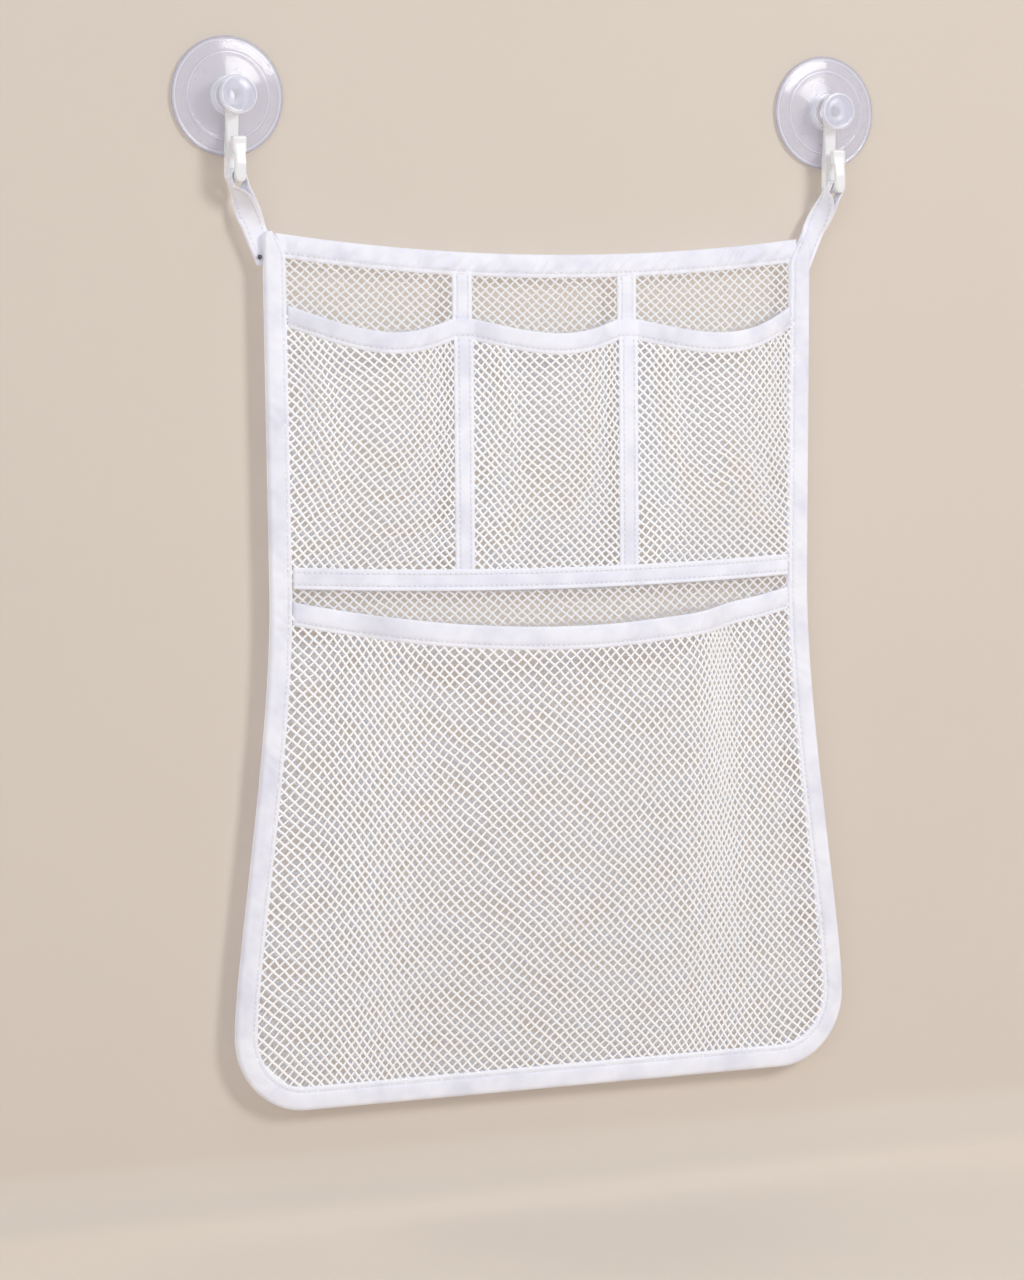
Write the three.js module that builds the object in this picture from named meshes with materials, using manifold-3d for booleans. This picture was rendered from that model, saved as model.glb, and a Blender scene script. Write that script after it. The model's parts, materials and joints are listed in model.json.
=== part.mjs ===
// Hanging mesh organizer: two suction cups with plastic hooks carry a flat mesh bag by two tape
// loops. The bag has three small pockets above and one large pocket below, all edged with
// folded tape. Millimetres, +Z up. The wall is the plane y = 0 and the front faces -Y.
// A distance in front of the wall is called a stand, so y = -stand.

import * as THREE from 'three';
import { mergeVertices } from 'three/addons/utils/BufferGeometryUtils.js';
import Module from 'manifold-3d';

const wasm = await Module();
wasm.setup();

// Air between two pieces that touch, and the overrun where one solid is joined into another
const fitGap = 0.3;
const joinOverrun = 0.5;

// Suction cups: radii from the cup's axis and stands in front of the wall
const cup = {
  spacing: 344,
  radius: 30,
  lipWidth: 2,
  rimThickness: 0.9,
  rimChamfer: 0.5,
  ledgeRadius: 21.9,
  ledgeStand: 2,
  ledgeRise: 0.7,
  domeRadius: 12,
  domeStand: 3.3,
  flangeRadius: 9.6,
  flangeBaseStand: 3.7,
  flangeStand: 5.2,
  chamberRadius: 20,
  chamberDepth: 1.1,
  chamberCentreDepth: 2.2,
};
const knob = {
  neckRadius: 2.6,
  neckEndStand: 12.8,
  headRadius: 9.8,
  headThickness: 4,
  headEdge: 0.9,
  headCrown: 0.3,
};
const cupSides = 40;

// Hooks: a hub round the knob's neck, a strap and a deep web below it, a round bar and a front leg
const hook = {
  hubWidth: 7.7,
  hubTop: 8.6,
  hubTopStand: 8.8,
  hubBackRise: 3.5,
  hubFrontRise: 2,
  hubFrontDrop: 5.5,
  hubFoot: 9,
  strapWidth: 7.6,
  strapThickness: 1.9,
  drop: 40.5,
  barRadius: 3,
  hollow: 8,
  hollowBackStand: 7.5,
  webBackStand: 2.4,
  webWaistStand: 3.2,
  webWaistDrop: 21.5,
  webKneeDrop: 25,
  webShoulderStand: 4.1,
  webShoulderDrop: 10.1,
  frontKneeDrop: 26,
  legThickness: 2.6,
  legHeight: 20,
  legKneeHeight: 6.5,
  legTilt: 2,
  nubWidth: 8,
  nubHeight: 8.3,
  nubThickness: 3.8,
  nubBevel: 0.6,
};
const hookSides = 24;

// Tape loops and their sewn tails
const loop = {
  tapeWidth: 11,
  tapeThickness: 0.9,
  plyGap: 0.4,
  archWidth: 7.2,
  narrowing: 6,
  closing: 3,
  straightLength: 4.6,
  hingeDrop: 64,
  hingeOutset: 4,
  hingeGap: 1.5,
  tailLength: 20,
};
const twistSteps = 12;
const archSteps = 10;

// Bag outline: half widths, and drops below the cups' centre line
const bag = {
  stand: 9,
  topDrop: 67,
  topHalfWidth: 157.5,
  topSag: 10.5,
  waistDrop: 250,
  waistHalfWidth: 155.5,
  flareHalfWidth: 176.8,
  flareDrop: 472,
  bottomDrop: 511,
  cornerRadius: 38,
};

// Edging tape, folded over the net's edge, and plain tape
const binding = { width: 12, ply: 0.5, fold: 1.5 };
const plainTape = { width: 11, thickness: 0.9 };
const net = { thickness: 0.6, visibleGap: 0.6, hem: 2.3 };

// Small pockets: one net panel with three bulges between the sides and two dividers
const panel = {
  rimWidth: 11,
  outerDrop: 104,
  dividerDrop: 110.5,
  sideSag: 10,
  middleSag: 7.5,
  sideBulge: 18,
  middleBulge: 16,
  dividerHalfSpan: 47.5,
  hemDrop: 234.5,
  hemSag: 4.5,
};

// Large pocket
const large = { rimDrop: 250, rimSag: 18, bulge: 26 };

// Thread knot on the left edge
const threadKnot = { radius: 1.3, drop: 80 };

// How full the pockets stay towards their lower seam, and how blunt the bulges are across
const panelFullnessShare = 2.4;
const largeFullnessShare = 2.6;
const bluntShare = 1.2;

// Net counts: grid lines, and the size of a hole as a share of the grid's spacing
const backGrid = { columns: 14, rows: 17 };
const largeGrid = { columns: 18, rows: 13 };
const panelGrid = { sideColumns: 9, middleColumns: 8, rows: 8 };
const holeShare = 0.86;

// Depths of the layers, counted forwards from the bag's middle plane
const layer = {};
layer.backNetMiddle = -fitGap - net.thickness / 2;
layer.rimBack = 0;
layer.rimThickness = 2 * binding.ply + 2 * fitGap + net.thickness;
layer.pocketNetMiddle = layer.rimThickness / 2;
layer.slotBack = layer.backNetMiddle - net.thickness / 2 - fitGap;
layer.slotFront = layer.pocketNetMiddle + net.thickness / 2 + fitGap;
layer.tapeBack = layer.slotFront;

const material = (colour, roughness, opacity = 1) =>
  new THREE.MeshStandardMaterial({
    color: colour,
    roughness,
    metalness: 0,
    transparent: opacity < 1,
    opacity,
  });
const clearVinyl = material(0xdcdae8, 0.2, 0.6);
const whitePlastic = material(0xf2f0f0, 0.35, 0.9);
const whiteTape = material(0xf0eef8, 0.8);
const whiteNet = material(0xf4f1ea, 0.7);
const darkThread = material(0x6d6a78, 0.5);

const organizer = new THREE.Group();

function add(name, geometry, finish) {
  const mesh = new THREE.Mesh(geometry, finish);
  mesh.name = name;
  organizer.add(mesh);
}

// A closed geometry with merged points and its faces pointing out
function closed(geometry) {
  const bare = geometry.index ? geometry.toNonIndexed() : geometry.clone();
  bare.deleteAttribute('normal');
  bare.deleteAttribute('uv');
  const merged = mergeVertices(bare);
  const points = merged.attributes.position;
  const faces = [];
  let volume = 0;
  const corner = [new THREE.Vector3(), new THREE.Vector3(), new THREE.Vector3()];
  for (let k = 0; k < merged.index.count; k += 3) {
    const face = [0, 1, 2].map((side) => merged.index.getX(k + side));
    if (new Set(face).size < 3) continue;
    face.forEach((vertex, side) => corner[side].fromBufferAttribute(points, vertex));
    volume += corner[0].dot(corner[1].clone().cross(corner[2]));
    faces.push(face);
  }
  if (volume < 0) faces.forEach((face) => face.reverse());
  merged.setIndex(faces.flat());
  merged.computeVertexNormals();
  return merged;
}

function toSolid(geometry) {
  const shape = closed(geometry);
  const mesh = new wasm.Mesh({
    numProp: 3,
    vertProperties: new Float32Array(shape.attributes.position.array),
    triVerts: new Uint32Array(shape.index.array),
  });
  return new wasm.Manifold(mesh);
}

function fromSolid(solid) {
  const mesh = solid.getMesh();
  const geometry = new THREE.BufferGeometry();
  geometry.setAttribute('position', new THREE.BufferAttribute(mesh.vertProperties, 3));
  geometry.setIndex(Array.from(mesh.triVerts));
  return closed(geometry);
}

const joined = (geometries) =>
  fromSolid(geometries.map(toSolid).reduce((whole, piece) => whole.add(piece)));

// A skin over a row of closed sections that all have as many points, capped at both ends
function swept(sections, capFaces) {
  const count = sections[0].length;
  const index = [];
  for (let row = 0; row + 1 < sections.length; row += 1) {
    for (let k = 0; k < count; k += 1) {
      const a = row * count + k;
      const b = row * count + ((k + 1) % count);
      index.push(a, b, b + count, a, b + count, a + count);
    }
  }
  const last = (sections.length - 1) * count;
  capFaces.forEach(([a, b, c]) => index.push(a, c, b, last + a, last + b, last + c));
  const geometry = new THREE.BufferGeometry().setFromPoints(sections.flat());
  geometry.setIndex(index);
  return closed(geometry);
}

const quadCaps = [[0, 1, 2], [0, 2, 3]];

// Section of a folded tape: across runs from the fold to the open edge, depth through the tape
function channelSection(width, back, front, slotBack, slotFront) {
  return [
    [0, back],
    [width, back],
    [width, slotBack],
    [binding.fold, slotBack],
    [binding.fold, slotFront],
    [width, slotFront],
    [width, front],
    [0, front],
  ];
}

const channelCaps = (section) =>
  THREE.ShapeUtils.triangulateShape(section.map(([a, b]) => new THREE.Vector2(a, b)), []);

const spread = (from, to, count) =>
  Array.from({ length: count + 1 }, (_, k) => from + ((to - from) * k) / count);

// A point from its side place, its depth in front of the bag's middle plane, and its drop
const inBag = (x, depth, drop) => new THREE.Vector3(x, -(bag.stand + depth), -drop);

// Bag outline
// One half of the outline, from the top corner down the side and along the bottom to the middle
function outlineHalf() {
  const path = new THREE.Path();
  const flareReach = (bag.flareDrop - bag.waistDrop) / 3;
  const cornerReach = bag.bottomDrop - bag.flareDrop;
  const roundShare = 0.55;
  path.moveTo(bag.topHalfWidth, bag.topDrop);
  path.lineTo(bag.waistHalfWidth, bag.waistDrop);
  path.bezierCurveTo(
    bag.waistHalfWidth,
    bag.waistDrop + flareReach,
    bag.flareHalfWidth,
    bag.flareDrop - flareReach / 2,
    bag.flareHalfWidth,
    bag.flareDrop,
  );
  path.bezierCurveTo(
    bag.flareHalfWidth,
    bag.flareDrop + cornerReach * roundShare,
    bag.flareHalfWidth - bag.cornerRadius * (1 - roundShare),
    bag.bottomDrop,
    bag.flareHalfWidth - bag.cornerRadius,
    bag.bottomDrop,
  );
  path.lineTo(0, bag.bottomDrop);
  return path;
}

const half = outlineHalf();
const halfLength = half.getLength();
const [sideLength, flareLength, cornerLength] = half.curves.map((curve) => curve.getLength());
const cornerStart = sideLength + flareLength;
const cornerMiddle = cornerStart + cornerLength / 2;

// A place on the right half at a length along it, moved inwards, as side place and drop
function rightEdge(length, inset) {
  const share = Math.min(length / halfLength, 1);
  const point = half.getPointAt(share);
  const tangent = half.getTangentAt(share);
  return [point.x - tangent.y * inset, point.y + tangent.x * inset];
}

function lengthAtDrop(drop) {
  let low = 0;
  let high = cornerMiddle;
  for (let turn = 0; turn < 40; turn += 1) {
    const middle = (low + high) / 2;
    if (half.getPointAt(middle / halfLength).y < drop) low = middle;
    else high = middle;
  }
  return low;
}

const halfWidthAt = (drop) => half.getPointAt(lengthAtDrop(drop) / halfLength).x;

// Curves across the bag: drops of the top edge, the pocket rims and the hem band
const bow = (x, halfSpan) => 1 - (x / halfSpan) ** 2;
const topDropAt = (x) => bag.topDrop + bag.topSag * bow(x, bag.topHalfWidth);
const largeRimDropAt = (x) => large.rimDrop + large.rimSag * bow(x, bag.waistHalfWidth);
const hemDropAt = (x) => panel.hemDrop + panel.hemSag * bow(x, bag.waistHalfWidth);

const visibleInset = binding.width + net.visibleGap;
const buttInset = binding.width + fitGap;
const dividerInner = panel.dividerHalfSpan - plainTape.width / 2 - net.visibleGap;
const dividerOuter = panel.dividerHalfSpan + plainTape.width / 2 + net.visibleGap;

// Where x lies in the small pockets: the share across its pocket, or null on a divider
function pocketAt(x, sideEdge) {
  const reach = Math.abs(x);
  if (reach <= dividerInner) {
    return { share: (x + dividerInner) / (2 * dividerInner), middle: true };
  }
  if (reach < dividerOuter) return null;
  const span = sideEdge - dividerOuter;
  return { share: Math.min((reach - dividerOuter) / span, 1), middle: false };
}

const swell = (share) => Math.sin(Math.PI * share);

function panelRimDropAt(x, sideEdge) {
  const pocket = pocketAt(x, sideEdge);
  if (!pocket) return panel.dividerDrop;
  if (pocket.middle) return panel.dividerDrop + panel.middleSag * swell(pocket.share);
  const base = THREE.MathUtils.lerp(panel.dividerDrop, panel.outerDrop, pocket.share);
  return base + panel.sideSag * swell(pocket.share);
}

function panelBulgeAt(x, sideEdge, down) {
  const pocket = pocketAt(x, sideEdge);
  if (!pocket) return 0;
  const full = pocket.middle ? panel.middleBulge : panel.sideBulge;
  return full * Math.max(swell(pocket.share), 0) ** bluntShare * (1 - down ** panelFullnessShare);
}

// Suction cup with its knob: a profile turned round the cup's axis, which runs along y
function suctionCupGeometry() {
  const headTop = knob.neckEndStand + knob.headThickness;
  const profile = [
    [0, cup.chamberCentreDepth],
    [cup.chamberRadius, cup.chamberDepth],
    [cup.radius - cup.lipWidth, 0],
    [cup.radius, 0],
    [cup.radius, cup.rimThickness],
    [cup.radius - cup.rimChamfer, cup.rimThickness + cup.rimChamfer],
    [cup.ledgeRadius, cup.ledgeStand],
    [cup.ledgeRadius - cup.rimChamfer, cup.ledgeStand + cup.ledgeRise],
    [cup.domeRadius, cup.domeStand],
    [cup.flangeRadius, cup.flangeBaseStand],
    [cup.flangeRadius, cup.flangeStand],
    [knob.neckRadius, cup.flangeStand],
    [knob.neckRadius, knob.neckEndStand],
    [knob.headRadius - knob.headEdge, knob.neckEndStand],
    [knob.headRadius, knob.neckEndStand + knob.headEdge],
    [knob.headRadius, headTop - knob.headEdge],
    [knob.headRadius - knob.headEdge, headTop],
    [0, headTop + knob.headCrown],
  ];
  const points = profile.map(([radius, stand]) => new THREE.Vector2(radius, -stand));
  return closed(new THREE.LatheGeometry(points, cupSides));
}

// Hook, drawn with the knob's axis at x = 0, z = 0
const hubBackStand = cup.flangeStand + fitGap;
const hubFrontStand = knob.neckEndStand - fitGap;
const strapFrontStand = hubBackStand + hook.strapThickness;
const holeRadius = knob.neckRadius + fitGap;
const legBackStand = hook.hollowBackStand + hook.hollow;
const legFrontStand = legBackStand + hook.legThickness;

// Turns a shape drawn as (stand, height) and its extrusion into the hook's own frame
const sideways = new THREE.Matrix4().makeBasis(
  new THREE.Vector3(0, -1, 0),
  new THREE.Vector3(0, 0, 1),
  new THREE.Vector3(-1, 0, 0),
);

function extrudedSideways(points, width, bevel) {
  const shape = new THREE.Shape(points.map(([stand, height]) => new THREE.Vector2(stand, height)));
  const geometry = new THREE.ExtrudeGeometry(shape, {
    depth: width - 2 * bevel,
    bevelEnabled: bevel > 0,
    bevelThickness: bevel,
    bevelSize: bevel,
    bevelOffset: -bevel,
    bevelSegments: 1,
  });
  geometry.translate(0, 0, bevel - width / 2);
  return geometry.applyMatrix4(sideways);
}

// The hub is drawn from the side and bored for the knob's neck
function hubGeometry() {
  const outline = [
    [hubBackStand, -hook.hubFoot],
    [hubBackStand, hook.hubBackRise],
    [hook.hubTopStand, hook.hubTop],
    [hubFrontStand, hook.hubFrontRise],
    [hubFrontStand, -hook.hubFrontDrop],
    [strapFrontStand, -hook.hubFoot],
  ];
  const boreLength = hubFrontStand - hubBackStand + 2 * joinOverrun;
  const bore = new THREE.CylinderGeometry(holeRadius, holeRadius, boreLength, hookSides);
  bore.translate(0, -(hubFrontStand + hubBackStand) / 2, 0);
  const block = toSolid(extrudedSideways(outline, hook.hubWidth, 0));
  return fromSolid(block.subtract(toSolid(bore)));
}

// The strap is drawn from the front and narrows from the hub to the hook's bar
function strapGeometry() {
  const top = holeRadius + joinOverrun;
  const shape = new THREE.Shape();
  shape.moveTo(-hook.strapWidth / 2, -top);
  shape.lineTo(-hook.barRadius, -hook.frontKneeDrop);
  shape.lineTo(hook.barRadius, -hook.frontKneeDrop);
  shape.lineTo(hook.strapWidth / 2, -top);
  shape.closePath();
  const geometry = new THREE.ExtrudeGeometry(shape, {
    depth: hook.strapThickness,
    bevelEnabled: false,
  });
  geometry.rotateX(Math.PI / 2);
  return geometry.translate(0, -hubBackStand, 0);
}

function hookGeometry() {
  const webTop = -(holeRadius + joinOverrun);
  const web = [
    [hubBackStand + joinOverrun, webTop],
    [hubBackStand + joinOverrun, -hook.webShoulderDrop],
    [hook.webShoulderStand, -hook.webShoulderDrop],
    [hook.webWaistStand, -hook.webWaistDrop],
    [hook.webBackStand, -hook.webKneeDrop],
    [hook.webBackStand, -hook.drop],
    [hook.hollowBackStand, -hook.drop],
    [hook.hollowBackStand, -hook.frontKneeDrop],
    [strapFrontStand - joinOverrun, webTop],
  ];
  const legTop = hook.legHeight - hook.drop;
  const legKnee = hook.legKneeHeight - hook.drop;
  const leg = [
    [legBackStand, -hook.drop],
    [legFrontStand, -hook.drop],
    [legFrontStand, legKnee],
    [legFrontStand - hook.legTilt, legTop],
    [legBackStand - hook.legTilt, legTop],
    [legBackStand, legKnee],
  ];
  const nubFront = legFrontStand - hook.legTilt + hook.nubBevel;
  const nubBack = nubFront - hook.nubThickness;
  const nub = [
    [nubBack, legTop - hook.nubHeight],
    [nubFront, legTop - hook.nubHeight],
    [nubFront, legTop],
    [nubBack, legTop],
  ];
  const bar = new THREE.CylinderGeometry(
    hook.barRadius,
    hook.barRadius,
    legFrontStand - hook.webBackStand,
    hookSides,
  );
  bar.translate(0, -(legFrontStand + hook.webBackStand) / 2, -hook.drop);
  const width = 2 * hook.barRadius;
  return joined([
    hubGeometry(),
    strapGeometry(),
    extrudedSideways(web, width, 0),
    extrudedSideways(leg, width, 0),
    extrudedSideways(nub, hook.nubWidth, hook.nubBevel),
    bar,
  ]);
}

// Tape loop on the right side, from its root up one ply, round the hook's bar and down the other.
// Its twist is turned one way or the other, 1 or -1.
const barCentre = new THREE.Vector3(
  cup.spacing / 2,
  -(hook.hollowBackStand + hook.hollow / 2),
  -hook.drop,
);
const tailThickness = 2 * loop.tapeThickness + loop.plyGap;
const tailFrontStand = bag.stand + layer.slotBack - binding.ply - fitGap;
const tailStand = tailFrontStand - tailThickness / 2;
const hinge = new THREE.Vector3(
  bag.topHalfWidth + loop.hingeOutset,
  -tailStand,
  -loop.hingeDrop,
);
const lean = barCentre.clone().sub(hinge);
const leanAngle = Math.atan2(lean.x, lean.z);
const across = new THREE.Vector3(Math.cos(leanAngle), 0, -Math.sin(leanAngle));
const sideAxis = new THREE.Vector3(1, 0, 0);
const depthAxis = new THREE.Vector3(0, 1, 0);

function tapeSection(centre, widthWay, thickWay, width) {
  const w = widthWay.clone().multiplyScalar(width / 2);
  const t = thickWay.clone().multiplyScalar(loop.tapeThickness / 2);
  return [
    centre.clone().add(w).add(t),
    centre.clone().sub(w).add(t),
    centre.clone().sub(w).sub(t),
    centre.clone().add(w).sub(t),
  ];
}

function loopGeometry(twistTurn) {
  const archRadius = hook.barRadius + fitGap + loop.tapeThickness / 2;
  const rootRadius = (loop.plyGap + loop.tapeThickness) / 2;
  const rootWidth = loop.tapeWidth / Math.cos(leanAngle);
  const rise = lean.z - loop.hingeGap;
  const straight = loop.straightLength * Math.cos(leanAngle);
  const plySections = (side) =>
    spread(0, 1, twistSteps + 1).map((_, k) => {
      const height = k > twistSteps ? rise : (k / twistSteps) * (rise - straight);
      const share = Math.min(height / (rise - straight), 1);
      const turn = (twistTurn * share * Math.PI) / 2;
      const climb = (height + loop.hingeGap) / lean.z;
      const middle = hinge.clone().add(lean.clone().multiplyScalar(climb));
      const flat = sideAxis.clone().lerp(across, share).normalize();
      const widthWay = flat.clone().multiplyScalar(Math.cos(turn));
      widthWay.addScaledVector(depthAxis, Math.sin(turn));
      const thickWay = flat.clone().multiplyScalar(-Math.sin(turn));
      thickWay.addScaledVector(depthAxis, Math.cos(turn)).multiplyScalar(side);
      const radius = THREE.MathUtils.lerp(rootRadius, archRadius, share ** loop.closing);
      const width = THREE.MathUtils.lerp(rootWidth, loop.archWidth, share ** loop.narrowing);
      return tapeSection(middle.addScaledVector(thickWay, radius), widthWay, thickWay, width);
    });
  const up = lean.clone().setY(0).normalize();
  const archSections = spread(0, Math.PI, archSteps).slice(1, -1).map((angle) => {
    const outwards = across.clone().multiplyScalar(twistTurn * Math.cos(angle));
    outwards.addScaledVector(up, Math.sin(angle));
    const middle = barCentre.clone().addScaledVector(outwards, archRadius);
    const widthWay = depthAxis.clone().multiplyScalar(twistTurn);
    return tapeSection(middle, widthWay, outwards, loop.archWidth);
  });
  const sections = [...plySections(-1), ...archSections, ...plySections(1).reverse()];
  return swept(sections, quadCaps);
}

// Sewn tail of the right loop: flat behind the side edging, with a round top on the hinge line
function tailGeometry() {
  const radius = tailThickness / 2;
  const shape = new THREE.Shape();
  shape.moveTo(-radius, -loop.tailLength);
  shape.lineTo(radius, -loop.tailLength);
  shape.lineTo(radius, 0);
  shape.absarc(0, 0, radius, 0, Math.PI, false);
  shape.closePath();
  const width = loop.tapeWidth / Math.cos(leanAngle);
  const geometry = new THREE.ExtrudeGeometry(shape, {
    depth: width,
    bevelEnabled: false,
    curveSegments: 8,
  });
  geometry.translate(0, 0, -width / 2);
  geometry.applyMatrix4(sideways);
  const shear = new THREE.Matrix4().makeShear(0, 0, 0, 0, Math.tan(leanAngle), 0);
  geometry.applyMatrix4(shear);
  return geometry.translate(hinge.x, hinge.y, hinge.z);
}

// Copies a right-hand geometry to the other side
function mirrored(geometry) {
  return closed(geometry.clone().scale(-1, 1, 1));
}

// Side edging: one folded tape down one side, round the bottom and up the other side
function sideBindingGeometry() {
  const back = layer.slotBack - binding.ply;
  const front = layer.slotFront + binding.ply;
  const section = channelSection(binding.width, back, front, layer.slotBack, layer.slotFront);
  const lengths = [
    ...spread(0, sideLength, 4).slice(0, -1),
    ...spread(sideLength, cornerStart, 10).slice(0, -1),
    ...spread(cornerStart, cornerStart + cornerLength, 9).slice(0, -1),
    ...spread(cornerStart + cornerLength, halfLength, 3),
  ];
  const rightSections = lengths.map((length) =>
    section.map(([inwards, depth]) => {
      const [x, drop] = rightEdge(length, inwards);
      return inBag(x, depth, drop);
    }),
  );
  const leftSections = rightSections
    .slice(0, -1)
    .reverse()
    .map((ring) => ring.map((point) => point.clone().setX(-point.x)));
  return swept([...rightSections, ...leftSections], channelCaps(section));
}

// Folded tape along a curve across the bag; bulgeAt moves it forwards, dropAt lowers it
function rimGeometry(xs, width, section, dropAt, bulgeAt) {
  const slopeStep = fitGap;
  const sections = xs.map((x, k) => {
    const from = Math.max(x - slopeStep, xs[0]);
    const to = Math.min(x + slopeStep, xs[xs.length - 1]);
    const ends = k === 0 || k === xs.length - 1;
    const slope = ends ? 0 : (bulgeAt(to) - bulgeAt(from)) / (to - from);
    const steep = Math.hypot(1, slope);
    return section.map(([down, depth]) => {
      const away = depth - layer.pocketNetMiddle;
      const middle = layer.pocketNetMiddle + bulgeAt(x);
      return inBag(x - (away * slope) / steep, middle + away / steep, dropAt(x) + down);
    });
  });
  return swept(sections, channelCaps(section));
}

const rimSection = (width) => {
  const back = layer.rimBack;
  const front = layer.rimBack + layer.rimThickness;
  return channelSection(width, back, front, back + binding.ply, front - binding.ply);
};

function topBindingGeometry() {
  const reach = halfWidthAt(bag.topDrop + binding.width) - buttInset;
  const back = layer.slotBack - binding.ply;
  const slotFront = layer.rimBack;
  const front = slotFront + binding.ply;
  const section = channelSection(binding.width, back, front, layer.slotBack, slotFront);
  const sections = spread(-reach, reach, 16).map((x) =>
    section.map(([down, depth]) => inBag(x, depth, topDropAt(x) + down)),
  );
  return swept(sections, channelCaps(section));
}

const panelSide = halfWidthAt(panel.dividerDrop) - visibleInset;

// Places across the small pockets, with as many steps in each as asked
function panelPlaces(sideSteps, middleSteps, edge) {
  const side = spread(dividerOuter, edge, sideSteps);
  const middle = spread(-dividerInner, dividerInner, middleSteps);
  const mirrorSide = side.map((x) => -x).reverse();
  return [...mirrorSide, ...middle, ...side];
}

// Adds the short flat ends that reach the side edging to the places of a net's grid lines
const rimPlaces = (places) => {
  const reach = places[places.length - 1] + net.visibleGap - fitGap;
  return [-reach, ...places, reach];
};

function panelRimGeometry() {
  const places = panelPlaces(panelGrid.sideColumns, panelGrid.middleColumns, panelSide);
  return rimGeometry(
    rimPlaces(places),
    panel.rimWidth,
    rimSection(panel.rimWidth),
    (x) => panelRimDropAt(x, panelSide),
    (x) => panelBulgeAt(x, panelSide, 0),
  );
}

const largeSwell = (share) => Math.max(swell(share), 0) ** bluntShare;
const largeSide = halfWidthAt(large.rimDrop + binding.width) - visibleInset;
const largeBulgeAt = (x) =>
  large.bulge * largeSwell(THREE.MathUtils.clamp((x / largeSide + 1) / 2, 0, 1));

function largeRimGeometry() {
  return rimGeometry(
    rimPlaces(spread(-largeSide, largeSide, largeGrid.columns)),
    binding.width,
    rimSection(binding.width),
    largeRimDropAt,
    largeBulgeAt,
  );
}

// A plain tape laid on the bag between two drops at each place across or along it
function tapeGeometry(stations, back) {
  const sections = stations.map(([[xa, dropA], [xb, dropB]]) => [
    inBag(xa, back, dropA),
    inBag(xb, back, dropB),
    inBag(xb, back + plainTape.thickness, dropB),
    inBag(xa, back + plainTape.thickness, dropA),
  ]);
  return swept(sections, quadCaps);
}

function hemBandGeometry() {
  const reach = halfWidthAt(panel.hemDrop + plainTape.width) - buttInset;
  const stations = spread(-reach, reach, 14).map((x) => [
    [x, hemDropAt(x)],
    [x, hemDropAt(x) + plainTape.width],
  ]);
  return tapeGeometry(stations, layer.tapeBack);
}

function uprightTape(centre, topDrop, bottomDrop, back) {
  const left = centre - plainTape.width / 2;
  const right = centre + plainTape.width / 2;
  return tapeGeometry(
    [
      [[left, topDrop], [right, topDrop]],
      [[left, bottomDrop], [right, bottomDrop]],
    ],
    back,
  );
}

// A net on a surface: grid squares with a diamond hole round every other crossing inside it.
// placeAt gives the middle of the net at a place on the grid, opensAt says where a hole may be.
function netGeometry(columns, rows, placeAt, opensAt) {
  const points = [];
  const known = new Map();
  const slopeStep = 0.02;
  const normalAt = (i, j) => {
    const [a, b] = [Math.max(i - slopeStep, 0), Math.min(i + slopeStep, columns)];
    const [c, d] = [Math.max(j - slopeStep, 0), Math.min(j + slopeStep, rows)];
    const alongColumns = placeAt(b, j).sub(placeAt(a, j));
    const normal = alongColumns.cross(placeAt(i, d).sub(placeAt(i, c)));
    if (normal.length() === 0) return depthAxis.clone().negate();
    normal.normalize();
    return normal.y > 0 ? normal.negate() : normal;
  };
  const vertex = (i, j) => {
    const middle = placeAt(i, j);
    const key = middle.toArray().map((value) => value.toFixed(3)).join();
    if (!known.has(key)) {
      const rise = normalAt(i, j).multiplyScalar(net.thickness / 2);
      known.set(key, points.length);
      points.push(middle.clone().add(rise), middle.clone().sub(rise));
    }
    return known.get(key);
  };
  const index = [];
  const wall = (a, b) => {
    if (a !== b) index.push(a, b, b + 1, a, b + 1, a + 1);
  };
  for (let i = 0; i < columns; i += 1) {
    for (let j = 0; j < rows; j += 1) {
      const corners = [[i, j], [i, j + 1], [i + 1, j + 1], [i + 1, j]];
      const ring = [];
      corners.forEach(([a, b], k) => {
        if (!opensAt(a, b)) {
          ring.push(vertex(a, b));
          return;
        }
        const before = corners[(k + 3) % 4];
        const after = corners[(k + 1) % 4];
        const towards = ([c, d]) => vertex(a + (c - a) * holeShare, b + (d - b) * holeShare);
        const first = towards(before);
        const second = towards(after);
        wall(second, first);
        ring.push(first, second);
      });
      for (let k = 1; k + 1 < ring.length; k += 1) {
        const [a, b, c] = [ring[0], ring[k], ring[k + 1]];
        if (a !== b && b !== c && a !== c) index.push(a, b, c, c + 1, b + 1, a + 1);
      }
    }
  }
  for (let i = 0; i < columns; i += 1) {
    wall(vertex(i, 0), vertex(i + 1, 0));
    wall(vertex(i + 1, rows), vertex(i, rows));
  }
  for (let j = 0; j < rows; j += 1) {
    wall(vertex(0, j + 1), vertex(0, j));
    wall(vertex(columns, j), vertex(columns, j + 1));
  }
  const geometry = new THREE.BufferGeometry().setFromPoints(points);
  geometry.setIndex(index);
  return closed(geometry);
}

// Every other crossing inside a net's outer edges, where a hole may be
const insideEdges = (i, j, columns, rows) =>
  (i + j) % 2 === 0 && i > 0 && i < columns && j > 0 && j < rows;

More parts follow.
